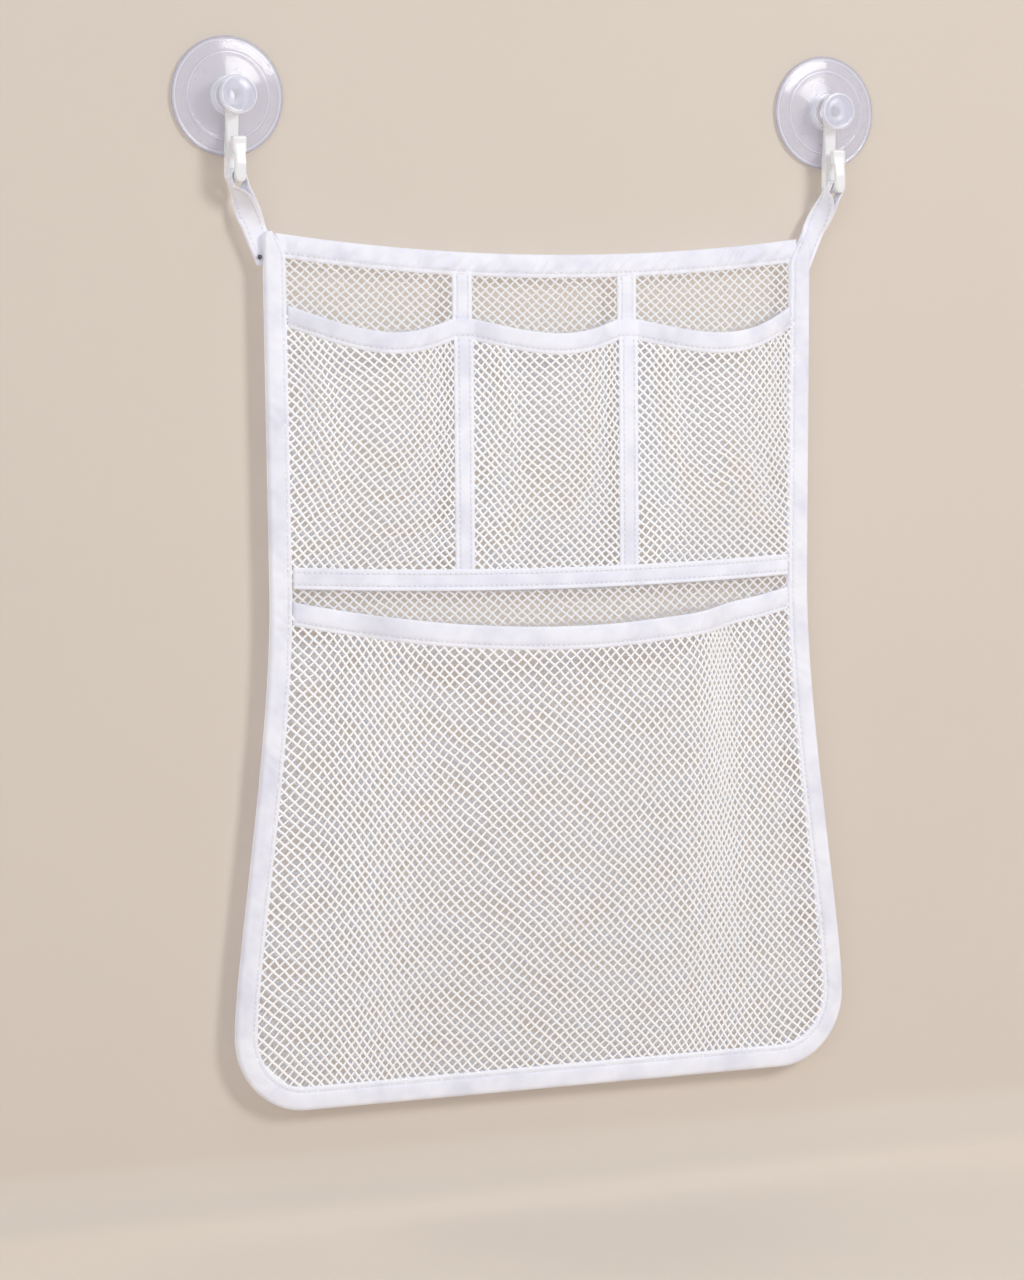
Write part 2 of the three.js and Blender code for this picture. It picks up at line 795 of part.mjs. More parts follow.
// A patch that fills the bag's outline below a curve across it, blended from its four edges.
// u runs from left to right and v from the curve down to the bottom; insets move the edges in.
function bagPatch(curveDropAt, drop, edgeInset) {
  const topReach = halfWidthAt(curveDropAt(bag.waistHalfWidth) + drop) - edgeInset;
  const startLength = lengthAtDrop(curveDropAt(topReach) + drop);
  const top = (u) => {
    const x = (2 * u - 1) * topReach;
    return [x, curveDropAt(x) + drop];
  };
  const side = (v) => {
    const [x, sideDrop] = rightEdge(
      THREE.MathUtils.lerp(startLength, cornerMiddle, v),
      edgeInset,
    );
    return v === 0 ? top(1) : [x, sideDrop];
  };
  const bottom = (u) => {
    const reach = Math.abs(2 * u - 1);
    const [x, bottomDrop] = rightEdge(
      THREE.MathUtils.lerp(halfLength, cornerMiddle, reach),
      edgeInset,
    );
    return [u < 0.5 ? -x : x, bottomDrop];
  };
  const at = (u, v) => {
    const [topPoint, bottomPoint, rightPoint] = [top(u), bottom(u), side(v)];
    const leftPoint = [-rightPoint[0], rightPoint[1]];
    const [topEnd, bottomEnd] = [top(1), bottom(1)];
    const blend = (k, mirror) =>
      (1 - v) * topPoint[k] +
      v * bottomPoint[k] +
      (1 - u) * leftPoint[k] +
      u * rightPoint[k] -
      (1 - v) * ((1 - u) * mirror * topEnd[k] + u * topEnd[k]) -
      v * ((1 - u) * mirror * bottomEnd[k] + u * bottomEnd[k]);
    return [blend(0, -1), blend(1, 1)];
  };
  return at;
}

// A net that fills the outline below a curve, with a hem inside the edging all round
function bagNetGeometry(grid, curveDropAt, slotDrop, middleDepth, bulgeAt) {
  const seen = bagPatch(curveDropAt, visibleInset, visibleInset);
  const hemmed = bagPatch(curveDropAt, slotDrop, net.hem);
  const columns = grid.columns + 2;
  const rows = grid.rows + 2;
  const placeAt = (i, j) => {
    const u = THREE.MathUtils.clamp((i - 1) / grid.columns, 0, 1);
    const v = THREE.MathUtils.clamp((j - 1) / grid.rows, 0, 1);
    const [x, drop] = seen(u, v);
    const depth = middleDepth + bulgeAt(u, v);
    const outside = Math.max(1 - i, i - (columns - 1), 1 - j, j - (rows - 1), 0);
    if (outside === 0) return inBag(x, depth, drop);
    const [hemX, hemDrop] = hemmed(u, v);
    const beside = i < 1 || i > columns - 1;
    const above = j < 1;
    if (above && !beside) {
      return inBag(x, depth, drop - (visibleInset - slotDrop) * outside);
    }
    if (beside && !above) {
      const sideDrop = v === 0 ? drop : THREE.MathUtils.lerp(drop, hemDrop, outside);
      return inBag(THREE.MathUtils.lerp(x, hemX, outside), depth, sideDrop);
    }
    return inBag(
      THREE.MathUtils.lerp(x, hemX, outside),
      depth,
      THREE.MathUtils.lerp(drop, hemDrop, outside),
    );
  };
  const opensAt = (i, j) => {
    const cornerColumn = i === 1 || i === columns - 1;
    const cornerRow = j === 1 || j === rows - 1;
    return insideEdges(i, j, columns, rows) && !(cornerColumn && cornerRow);
  };
  return netGeometry(columns, rows, placeAt, opensAt);
}

// The small pockets' net: upright grid lines, flat under the dividers and in every hem
function panelNetGeometry() {
  const places = panelPlaces(panelGrid.sideColumns, panelGrid.middleColumns, panelSide);
  const columns = places.length + 1;
  const rows = panelGrid.rows + 2;
  const topHem = binding.fold + net.visibleGap;
  const placeAt = (i, j) => {
    const inner = THREE.MathUtils.clamp(i - 1, 0, places.length - 1);
    const low = Math.min(Math.floor(inner), places.length - 2);
    const baseX = THREE.MathUtils.lerp(places[low], places[low + 1], inner - low);
    const down = THREE.MathUtils.clamp((j - 1) / panelGrid.rows, 0, 1);
    const topDrop = panelRimDropAt(baseX, panelSide) + panel.rimWidth + net.visibleGap;
    const bottomDrop = hemDropAt(baseX) - net.visibleGap;
    let drop = THREE.MathUtils.lerp(topDrop, bottomDrop, down);
    if (j < 1) drop -= (panel.rimWidth + net.visibleGap - topHem) * (1 - j);
    if (j > rows - 1) drop += (plainTape.width - net.visibleGap) * (j - rows + 1);
    const edge = halfWidthAt(drop);
    const stretch = (edge - visibleInset - dividerOuter) / (panelSide - dividerOuter);
    let reach = Math.abs(baseX);
    if (reach > dividerOuter) reach = dividerOuter + (reach - dividerOuter) * stretch;
    const outside = Math.max(1 - i, i - (columns - 1), 0);
    reach += (visibleInset - net.hem) * outside;
    const bulge = panelBulgeAt(baseX, panelSide, down);
    return inBag(Math.sign(baseX) * reach, layer.pocketNetMiddle + bulge, drop);
  };
  const opensAt = (i, j) => insideEdges(i, j, columns, rows);
  return netGeometry(columns, rows, placeAt, opensAt);
}

function threadKnotGeometry() {
  const { radius, drop } = threadKnot;
  const sphere = new THREE.SphereGeometry(radius, 10, 8);
  const depth = (layer.slotBack + layer.slotFront) / 2;
  const centre = inBag(-(halfWidthAt(drop) + fitGap + radius), depth, drop);
  return closed(sphere.translate(centre.x, centre.y, centre.z));
}

// Cups and hooks
const cupHalfSpan = cup.spacing / 2;
const cupGeometry = suctionCupGeometry();
const rightHookGeometry = hookGeometry();
for (const [side, place] of [['left', -cupHalfSpan], ['right', cupHalfSpan]]) {
  add(`${side}_suction_cup`, cupGeometry.clone().translate(place, 0, 0), clearVinyl);
  add(`${side}_hook`, rightHookGeometry.clone().translate(place, 0, 0), whitePlastic);
}

// Loops and tails; both loops turn the same way
const rightTail = closed(tailGeometry());
add('right_loop', loopGeometry(-1), whiteTape);
add('left_loop', mirrored(loopGeometry(1)), whiteTape);
add('right_loop_tail', rightTail, whiteTape);
add('left_loop_tail', mirrored(rightTail), whiteTape);

// Bag
const flat = () => 0;
add(
  'back_net',
  bagNetGeometry(backGrid, topDropAt, binding.fold + net.visibleGap, layer.backNetMiddle, flat),
  whiteNet,
);
add('side_binding', sideBindingGeometry(), whiteTape);
add('top_binding', topBindingGeometry(), whiteTape);
add('pocket_panel_net', panelNetGeometry(), whiteNet);
add('pocket_panel_rim', panelRimGeometry(), whiteTape);
add('hem_band', hemBandGeometry(), whiteTape);
const largeDepthAt = (u, v) => large.bulge * largeSwell(u) * (1 - v ** largeFullnessShare);
add(
  'large_pocket_net',
  bagNetGeometry(
    largeGrid,
    largeRimDropAt,
    binding.fold + net.visibleGap,
    layer.pocketNetMiddle,
    largeDepthAt,
  ),
  whiteNet,
);
add('large_pocket_rim', largeRimGeometry(), whiteTape);
for (const [side, sign] of [['left', -1], ['right', 1]]) {
  const centre = sign * panel.dividerHalfSpan;
  const upperTop = topDropAt(panel.dividerHalfSpan - plainTape.width / 2) + binding.width + fitGap;
  const lowerTop = panel.dividerDrop + panel.rimWidth + fitGap;
  const hemTop = hemDropAt(panel.dividerHalfSpan + plainTape.width / 2) - fitGap;
  const upperBottom = panel.dividerDrop - fitGap;
  add(`${side}_upper_tape`, uprightTape(centre, upperTop, upperBottom, layer.rimBack), whiteTape);
  add(`${side}_divider_tape`, uprightTape(centre, lowerTop, hemTop, layer.tapeBack), whiteTape);
}
add('thread_knot', threadKnotGeometry(), darkThread);

export default organizer;
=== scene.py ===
"""Looks of a hanging mesh organizer, built around its CAD frame. Metres, +Z up, the wall at y = 0.

A place on the bag is given by x, by its drop below the cups' centre line, and by its stand, the
distance in front of the wall.
"""

import json
import math

import bmesh
import bpy
import numpy as np
from bpy.props import FloatProperty, FloatVectorProperty, PointerProperty
from mathutils import Matrix, Vector


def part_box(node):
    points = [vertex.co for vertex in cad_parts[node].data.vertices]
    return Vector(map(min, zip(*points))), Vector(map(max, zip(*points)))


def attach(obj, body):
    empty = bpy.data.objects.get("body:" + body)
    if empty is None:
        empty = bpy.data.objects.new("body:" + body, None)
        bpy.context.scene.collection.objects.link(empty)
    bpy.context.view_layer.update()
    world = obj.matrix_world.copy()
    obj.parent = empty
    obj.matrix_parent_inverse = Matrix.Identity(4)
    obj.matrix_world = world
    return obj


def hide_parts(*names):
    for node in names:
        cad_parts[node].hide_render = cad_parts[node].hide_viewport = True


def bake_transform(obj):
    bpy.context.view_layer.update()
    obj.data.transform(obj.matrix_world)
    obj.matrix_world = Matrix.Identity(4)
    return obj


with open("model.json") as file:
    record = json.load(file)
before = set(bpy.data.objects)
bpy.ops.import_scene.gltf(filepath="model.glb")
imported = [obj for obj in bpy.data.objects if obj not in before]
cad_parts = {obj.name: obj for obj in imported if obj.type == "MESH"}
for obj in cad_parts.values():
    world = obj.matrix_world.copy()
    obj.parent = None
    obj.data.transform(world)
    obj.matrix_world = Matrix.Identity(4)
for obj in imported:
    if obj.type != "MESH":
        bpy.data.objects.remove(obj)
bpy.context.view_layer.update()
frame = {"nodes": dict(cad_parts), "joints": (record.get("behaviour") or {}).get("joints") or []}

bl_info = {
    "name": "Hanging Mesh Organizer",
    "version": (1, 0, 0),
    "blender": (4, 5, 0),
    "location": "3D View > Sidebar > Organizer",
    "description": "Builds the looks of a hanging mesh organizer around its CAD frame",
    "category": "Add Mesh",
}

MM = 0.001
TURN = 2 * math.pi

SIDES = {"left": -1, "right": 1}
UPRIGHTS = [f"{side}_{kind}_tape" for side in SIDES for kind in ("upper", "divider")]
JOINTS = {joint["name"]: joint for joint in frame["joints"]}
SIDE_LOW, SIDE_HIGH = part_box("side_binding")
NET_HALF = (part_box("back_net")[1].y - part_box("back_net")[0].y) / 2

# Name, place, width, power and tint of each lamp
LAMPS = (
    ("key", (0.85, -1.7, 0.62), 0.7, 15.5, (1.0, 0.99, 0.98)),
    ("fill", (-1.5, -1.5, 0.1), 1.4, 7.2, (0.93, 0.96, 1.0)),
    ("top", (0.0, -0.6, 1.4), 0.8, 2.2, (1.0, 1.0, 1.0)),
    ("back_left", (-1.0, 1.5, 0.5), 1.2, 10, (1.0, 1.0, 1.0)),
    ("back_right", (1.2, 1.4, 0.3), 1.2, 8, (1.0, 1.0, 1.0)),
)
LAMPS_AIM = Vector((0, -0.02, -0.28))
WORLD_COLOUR = (0.9, 0.94, 1.0, 1)
WORLD_STRENGTH = 0.545


def edge_stand(node):
    """How far the middle of a net is from the wall where it is sewn into the edging."""
    return NET_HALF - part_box(node)[1].y


def joint_place(name, sign):
    """Where a joint is: its place in the frame, mirrored in x for the right side."""
    return np.array(JOINTS[name]["pos_m"]) * (-sign, 1, 1)


def metres(name, description, value):
    """A length property."""
    return FloatProperty(
        name=name, description=description, default=value, unit="LENGTH", precision=5
    )


def degrees(name, description, value):
    """An angle property, its default given in degrees."""
    return FloatProperty(
        name=name, description=description, default=math.radians(value), subtype="ANGLE"
    )


def colour(name, description, value):
    """A colour property, linear."""
    return FloatVectorProperty(
        name=name, description=description, default=value, subtype="COLOR", size=3, min=0, max=1
    )


class BagSizes(bpy.types.PropertyGroup):
    top_half_width: metres("Top half width", "Half the width at the top corners", 157.5 * MM)
    waist_half_width: metres("Waist half width", "Half the width at the waist", 155.5 * MM)
    waist_drop: metres("Waist drop", "Drop of the waist", 250 * MM)
    flare_half_width: metres("Flare half width", "Half the width at the flare", SIDE_HIGH.x)
    flare_drop: metres("Flare drop", "Drop of the widest place", 472 * MM)
    top_drop: metres("Top drop", "Drop of the top corners", -SIDE_HIGH.z)
    bottom_drop: metres("Bottom drop", "Drop of the bottom edge", -SIDE_LOW.z)
    corner_radius: metres("Corner radius", "Radius of the bottom corners", 38 * MM)
    top_sag: metres("Top sag", "Sag of the top edge in the middle", 10.5 * MM)
    binding_width: metres("Binding width", "Width of the folded edging", 12 * MM)


class PocketSizes(bpy.types.PropertyGroup):
    divider_half_span: metres("Divider half span", "From the middle to a divider", 47.5 * MM)
    outer_drop: metres("Outer drop", "Drop of the small rims at the sides", 104 * MM)
    divider_drop: metres("Divider drop", "Drop of the small rims at the dividers", 110.5 * MM)
    side_sag: metres("Side sag", "Sag of the side pockets' rims", 10 * MM)
    middle_sag: metres("Middle sag", "Sag of the middle pocket's rim", 7.5 * MM)
    side_bulge: metres("Side bulge", "How far the side pockets stand out", 18 * MM)
    middle_bulge: metres("Middle bulge", "How far the middle pocket stands out", 16 * MM)
    rim_width: metres("Rim width", "Width of the small pockets' rim", 11 * MM)
    tape_width: metres("Tape width", "Width of the plain tapes", 11 * MM)
    tape_thickness: metres("Tape thickness", "Thickness of the plain tapes", 0.9 * MM)
    hem_drop: metres("Hem drop", "Drop of the small pockets' hem band at the sides", 234.5 * MM)
    hem_sag: metres("Hem sag", "Sag of the hem band", 4.5 * MM)
    large_rim_drop: metres("Large rim drop", "Drop of the large pocket's rim", 250 * MM)
    large_rim_sag: metres("Large rim sag", "Sag of the large pocket's rim", 18 * MM)
    large_bulge: metres("Large bulge", "How far the large pocket stands out", 26 * MM)


class LoopSizes(bpy.types.PropertyGroup):
    tape_width: metres("Tape width", "Width of the loops' tape", 12 * MM)
    bar_width: metres("Width on the bar", "Width of the tape where it goes round the bar", 7.4 * MM)
    bar_radius: metres("Bar radius", "From the bar's axis to the middle of the tape", 3.8 * MM)
    root_radius: metres("Root radius", "Half the distance between the plies at the root", 0.62 * MM)
    tail: metres("Tail", "Length of the tails behind the edging", 20 * MM)


class NetSizes(bpy.types.PropertyGroup):
    diamond_width: metres("Diamond width", "Width of a diamond of the net", 5.6 * MM)
    diamond_height: metres("Diamond height", "Height of a diamond of the net", 4.8 * MM)
    large_width: metres("Large width", "Width of a diamond of the large pocket's net", 6.1 * MM)
    large_height: metres("Large height", "Height of a diamond of the large pocket's net", 5.6 * MM)
    strand_width: metres("Strand width", "Width of a strand", 1.05 * MM)
    strand_depth: metres("Strand depth", "Depth of a strand", 1.14 * MM)
    hem: metres("Hem", "How far from the outline the net ends", 4 * MM)


class StitchSizes(bpy.types.PropertyGroup):
    pitch: metres("Pitch", "From one stitch to the next", 2.9 * MM)
    length: metres("Length", "Length of a stitch", 2.1 * MM)
    width: metres("Width", "Width of the thread", 0.68 * MM)
    seam: metres("Seam", "From the tape's edge to its seam", 2.4 * MM)
    weave: metres("Weave", "Pitch of the tape's weave", 0.85 * MM)


class Colours(bpy.types.PropertyGroup):
    tape: colour("Tape", "Colour of the edging tape", (0.93, 0.93, 1.0))
    # painted shade for the seam groove, also the colour of the random mottling
    tape_painted_shade_and_mottle: colour("Tape shade", "Colour of the tape's hollows", (0.76, 0.76, 0.87))
    # painted shade: the dark of the needle holes
    needle: colour("Needle", "Colour of the tape's needle holes", (0.5, 0.48, 0.57))
    net: colour("Net", "Colour of the net", (0.98, 0.97, 0.97))
    net_shade: colour("Net shade", "Colour of the net's knots", (0.93, 0.92, 0.91))
    # painted shade: the back net's colour behind the pockets
    net_painted_shade: colour("Net covered", "Colour of the net behind a pocket", (0.5, 0.5, 0.54))
    passing: colour("Passing light", "Tint of the light that passes the nets", (0.62, 0.82, 1.0))
    thread: colour("Thread", "Colour of the sewing thread", (0.97, 0.97, 0.99))
    knot: colour("Knot", "Colour of the loose thread knot", (0.12, 0.11, 0.15))
    plastic: colour("Plastic", "Colour of the hooks", (0.88, 0.88, 0.89))
    vinyl: colour("Vinyl", "Colour of the suction cups", (0.76, 0.77, 0.92))
    backdrop: colour("Backdrop", "Colour of the floor and backdrop", (0.71, 0.63, 0.55))


class StageSettings(bpy.types.PropertyGroup):
    azimuth: degrees("Azimuth", "Camera's turn round the part", -26.089)
    elevation: degrees("Elevation", "Camera's height above level", 3.573)
    roll: degrees("Roll", "Camera's roll", -0.379)
    distance: metres("Distance", "From the camera to its target", 2.06)
    target: FloatVectorProperty(
        name="Target",
        description="What the camera looks at",
        default=(-0.0232, -0.015, -0.2755),
        subtype="XYZ",
        size=3,
    )
    lens: FloatProperty(name="Lens", description="Focal length", default=112.47, unit="CAMERA")
    floor_drop: metres("Floor drop", "How far the floor is below the bag", 0.05)
    backdrop_stand: metres("Backdrop stand", "From the wall plane back to the backdrop", 1 * MM)


# Arithmetic on arrays


def ease(x, low, high):
    """Smooth step: 0 up to low, 1 from high on, and 3t^2 - 2t^3 between them."""
    t = np.clip((x - low) / (high - low), 0, 1)
    return t * t * (3 - 2 * t)


def hump(x, middle, reach):
    """Bell curve: exp(-((x - middle) / reach)^2)."""
    return np.exp(-(((x - middle) / reach) ** 2))


def drift(s, scale, seed):
    """Slow wander between -1 and 1: the mean of three sines of unrelated lengths."""
    golden_angle = 2.4
    waves = ((1.0, 0.0), (0.618, 1.7), (0.377, 4.1))
    start = seed * golden_angle
    total = sum(np.sin(TURN * s / (scale * k) + phase + start) for k, phase in waves)
    return total / len(waves)


def unit(vectors):
    """Vectors over their own length."""
    return vectors / np.maximum(np.linalg.norm(vectors, axis=-1, keepdims=True), 1e-12)


def lengths_along(points):
    """Length along a line up to each of its points: the running sum of its steps."""
    steps = np.linalg.norm(np.diff(points, axis=0), axis=1)
    return np.concatenate([[0], np.cumsum(steps)])


def read_off(at, lengths, values):
    """Values at lengths along a line, straight between those of its points."""
    return np.stack([np.interp(at, lengths, column) for column in values.T], axis=-1)


def bezier(ends, t):
    """Cubic curve: the four points weighted by (1-t)^3, 3t(1-t)^2, 3t^2(1-t) and t^3."""
    weights = np.stack([(1 - t) ** 3, 3 * t * (1 - t) ** 2, 3 * t * t * (1 - t), t**3], axis=1)
    return weights @ np.array(ends)


def on_bag(x, stand, drop):
    """Points from side place, stand and drop."""
    return np.stack(np.broadcast_arrays(x, -np.asarray(stand), -np.asarray(drop)), axis=-1)


# Meshes


def skin(grid):
    """Faces of a closed skin over a grid of points, rows along a path and columns round it."""
    rows, columns = grid.shape[:2]
    a = np.arange(rows * columns).reshape(rows, columns)
    b = np.roll(a, -1, axis=1)
    quads = np.stack([a[:-1], b[:-1], b[1:], a[1:]], axis=-1).reshape(-1, 4)
    return quads, [a[0][::-1], a[-1]]


def add_piece(name, points, quads, caps, material, cloth=None):
    """A mesh piece with its faces pointing out: they are turned round if six times its volume,
    the sum of a . (b x c) over the faces' triangles, is negative. cloth gives each point's place
    on the cloth in metres."""
    points = np.asarray(points).reshape(-1, 3)
    quads = np.asarray(quads)
    centred = points - points.mean(axis=0)
    a, b, c, d = (centred[quads[:, k]] for k in range(4))
    volume = np.einsum("ij,ij->", a, np.cross(b, c)) + np.einsum("ij,ij->", a, np.cross(c, d))
    if volume < 0:
        quads = quads[:, ::-1]
        caps = [cap[::-1] for cap in caps]
    mesh = bpy.data.meshes.new(name)
    mesh.from_pydata(points.tolist(), [], quads.tolist() + [list(map(int, cap)) for cap in caps])
    mesh.shade_smooth()
    if cloth is not None:
        corners = np.empty(len(mesh.loops), dtype=np.int32)
        mesh.loops.foreach_get("vertex_index", corners)
        layer = mesh.uv_layers.new(name="Cloth")
        layer.data.foreach_set("uv", np.asarray(cloth).reshape(-1, 2)[corners].ravel())
    mesh.materials.append(material)
    mesh.update()
    piece = bpy.data.objects.new(name, mesh)
    bpy.context.scene.collection.objects.link(piece)
    return piece


def dress(piece, body, slot, *nodes):
    """Rides a piece on its body and lets it stand for its CAD nodes; its slot is not used."""
    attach(piece, body)
    if nodes:
        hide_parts(*nodes)


# Materials


class Value:
    """A shader socket with arithmetic: an expression on values adds its Math nodes."""

    def __init__(self, finish, socket):
        self.finish = finish
        self.socket = socket

    def math(self, operation, *values):
        return self.finish.math(operation, *values)

    def __add__(self, other):
        return self.math("ADD", self, other)

    def __radd__(self, other):
        return self.math("ADD", other, self)

    def __sub__(self, other):
        return self.math("SUBTRACT", self, other)

    def __rsub__(self, other):
        return self.math("SUBTRACT", other, self)

    def __mul__(self, other):
        return self.math("MULTIPLY", self, other)

    def __rmul__(self, other):
        return self.math("MULTIPLY", other, self)

    def __truediv__(self, other):
        return self.math("DIVIDE", self, other)

    def sine(self):
        return self.math("SINE", self)

    def bell(self):
        """exp(-value^2)."""
        return self.math("EXPONENT", -1 * (self * self))


class Finish:
    """A material whose nodes are added by expressions."""

    def __init__(self, name):
        self.material = bpy.data.materials.new(name)
        self.material.use_nodes = True
        self.tree = self.material.node_tree
        self.shader = self.tree.nodes["Principled BSDF"]

    def feed(self, socket, value):
        if isinstance(value, Value):
            self.tree.links.new(value.socket, socket)
        elif socket.type == "RGBA" and len(value) == 3:
            socket.default_value = (*value, 1)
        else:
            socket.default_value = value

    def node(self, kind, settings=None, values=(), output=0):
        """Adds a node: its settings first, then the values or links of its sockets."""
        node = self.tree.nodes.new(kind)
        for key, setting in (settings or {}).items():
            setattr(node, key, setting)
        pairs = values.items() if isinstance(values, dict) else enumerate(values)
        for key, value in pairs:
            self.feed(node.inputs[key], value)
        return Value(self, node.outputs[output])

    def math(self, operation, *values):
        return self.node("ShaderNodeMath", {"operation": operation}, values)

    def mix(self, factor, first, second):
        """first where factor is 0 and second where it is 1."""
        settings = {"data_type": "RGBA"}
        return self.node("ShaderNodeMix", settings, {0: factor, 6: first, 7: second}, output=2)

    def noise(self, scale, detail=2.0):
        place = self.node("ShaderNodeTexCoord", output=3)
        values = {"Vector": place, "Scale": scale, "Detail": detail}
        return self.node("ShaderNodeTexNoise", None, values)

    def cloth(self):
        """Places along and across the cloth, in metres."""
        place = self.node("ShaderNodeUVMap", {"uv_map": "Cloth"})
        return [self.node("ShaderNodeSeparateXYZ", None, [place], output=k) for k in (0, 1)]

    def bump(self, height, strength, distance):
        values = {"Strength": strength, "Distance": distance, "Height": height}
        return self.node("ShaderNodeBump", None, values)

    def set(self, **values):
        """Sets or links the shader's sockets, named with underscores for spaces."""
        for key, value in values.items():
            self.feed(self.shader.inputs[key.replace("_", " ")], value)
        return self.material

    def see_through(self, share, tint=(1, 1, 1)):
        """Lets the share of the surface be clear, tinting what passes."""
        solid = Value(self, self.shader.outputs[0])
        clear = self.node("ShaderNodeBsdfTransparent", None, {"Color": tint})
        seen = self.node("ShaderNodeMixShader", None, [share, solid, clear])
        self.feed(self.tree.nodes["Material Output"].inputs["Surface"], seen)
        return self.material


def tape_material(context):
    """Woven tape: a plain weave, painted shade along the seam groove and in the needle holes
    between the stitches, a painted highlight on the strip between each edge and its seam, and
    cloudy mottling."""
    colours = context.scene.organizer_colours
    stitch = context.scene.organizer_stitches
    finish = Finish("woven_tape")
    along, across = finish.cloth()
    weave = (along * (TURN / stitch.weave)).sine() * (across * (TURN / stitch.weave)).sine()
    # the seam bell darkens the colour along the seam groove: painted shade
    seam, needle_line = (((across - stitch.seam) / (reach * MM)).bell() for reach in (0.5, 0.45))
    between = 0.5 + 0.5 * (along * (TURN / stitch.pitch) + TURN / 4).sine()
    # random spread of the painted shade in the needle holes
    hole_noise = finish.noise(350.0)
    holes = needle_line * finish.math("POWER", between, 5.0) * hole_noise
    clouds = finish.noise(60.0)
    # painted highlight: the strip between each edge and its seam is lightened
    lip = finish.math("LESS_THAN", across, stitch.seam)
    # painted shade along the seam, a painted highlight outside it, and random mottling from the
    # clouds
    shade = 0.5 * seam + 2.2 * (clouds - 0.36) - 0.35 * lip + 0.06 * weave
    cloth = finish.mix(shade, colours.tape, colours.tape_painted_shade_and_mottle)
    return finish.set(
        # the needle holes are painted shade: dark dots between the stitches
        Base_Color=finish.mix(0.9 * holes, cloth, colours.needle),
        Roughness=0.72 + 0.2 * clouds,
        Normal=finish.bump(weave + 2.0 * clouds, 0.35, 0.06 * MM),
        Sheen_Weight=0.25,
        Sheen_Roughness=0.45,
    )


def net_material(context):
    """Knitted net: fuzzy white yarn, a little darker in patches, with painted shade where other
    cloth lies in front of it, a faint painted glow and a fibre bump. Some of the light that meets
    it passes on, bluer."""
    colours = context.scene.organizer_colours
    finish = Finish("knitted_net")
    fibres = finish.noise(2600.0, 1.0)
    clouds = finish.noise(45.0)
    # painted shade behind the pockets, read from each point's attribute
    painted_shade_share = finish.node("ShaderNodeAttribute", {"attribute_name": "PaintedShade"}, output=2)
    open_net = finish.mix(0.3 * fibres + 0.3 * clouds, colours.net, colours.net_shade)
    yarn = finish.mix(painted_shade_share, open_net, colours.net_painted_shade)
    finish.set(
        Base_Color=yarn,
        Roughness=0.65 + 0.2 * fibres,
        Normal=finish.bump(fibres, 0.4, 0.12 * MM),
        Sheen_Weight=0.3,
        Sheen_Roughness=0.5,
        # painted glow: the yarn emits light though it is no lamp
        Emission_Color=yarn,
        Emission_Strength=0.13,
    )
    shadow = finish.node("ShaderNodeLightPath", output=1)
    return finish.see_through(0.55 * shadow, colours.passing)


def thread_material(name, base):
    """Twisted thread: fine turns shown by colour and bump."""
    finish = Finish(name)
    twist = finish.noise(3200.0, 1.0)
    dark = tuple(0.8 * value for value in base)
    return finish.set(
        Base_Color=finish.mix(twist, base, dark),
        Roughness=0.5 + 0.25 * twist,
        Normal=finish.bump(twist, 0.4, 0.08 * MM),
    )


def plastic_material(context):
    """Translucent white moulding with a satin skin and faint flow marks."""
    colours = context.scene.organizer_colours
    finish = Finish("hook_plastic")
    flow = finish.noise(90.0)
    shade = tuple(0.93 * value for value in colours.plastic)
    return finish.set(
        Base_Color=finish.mix(flow, colours.plastic, shade),
        Roughness=0.24 + 0.14 * flow,
        Normal=finish.bump(flow, 0.1, 0.1 * MM),
        Coat_Weight=0.3,
        Coat_Roughness=0.15,
        Subsurface_Weight=0.2,
        Subsurface_Scale=2 * MM,
    )


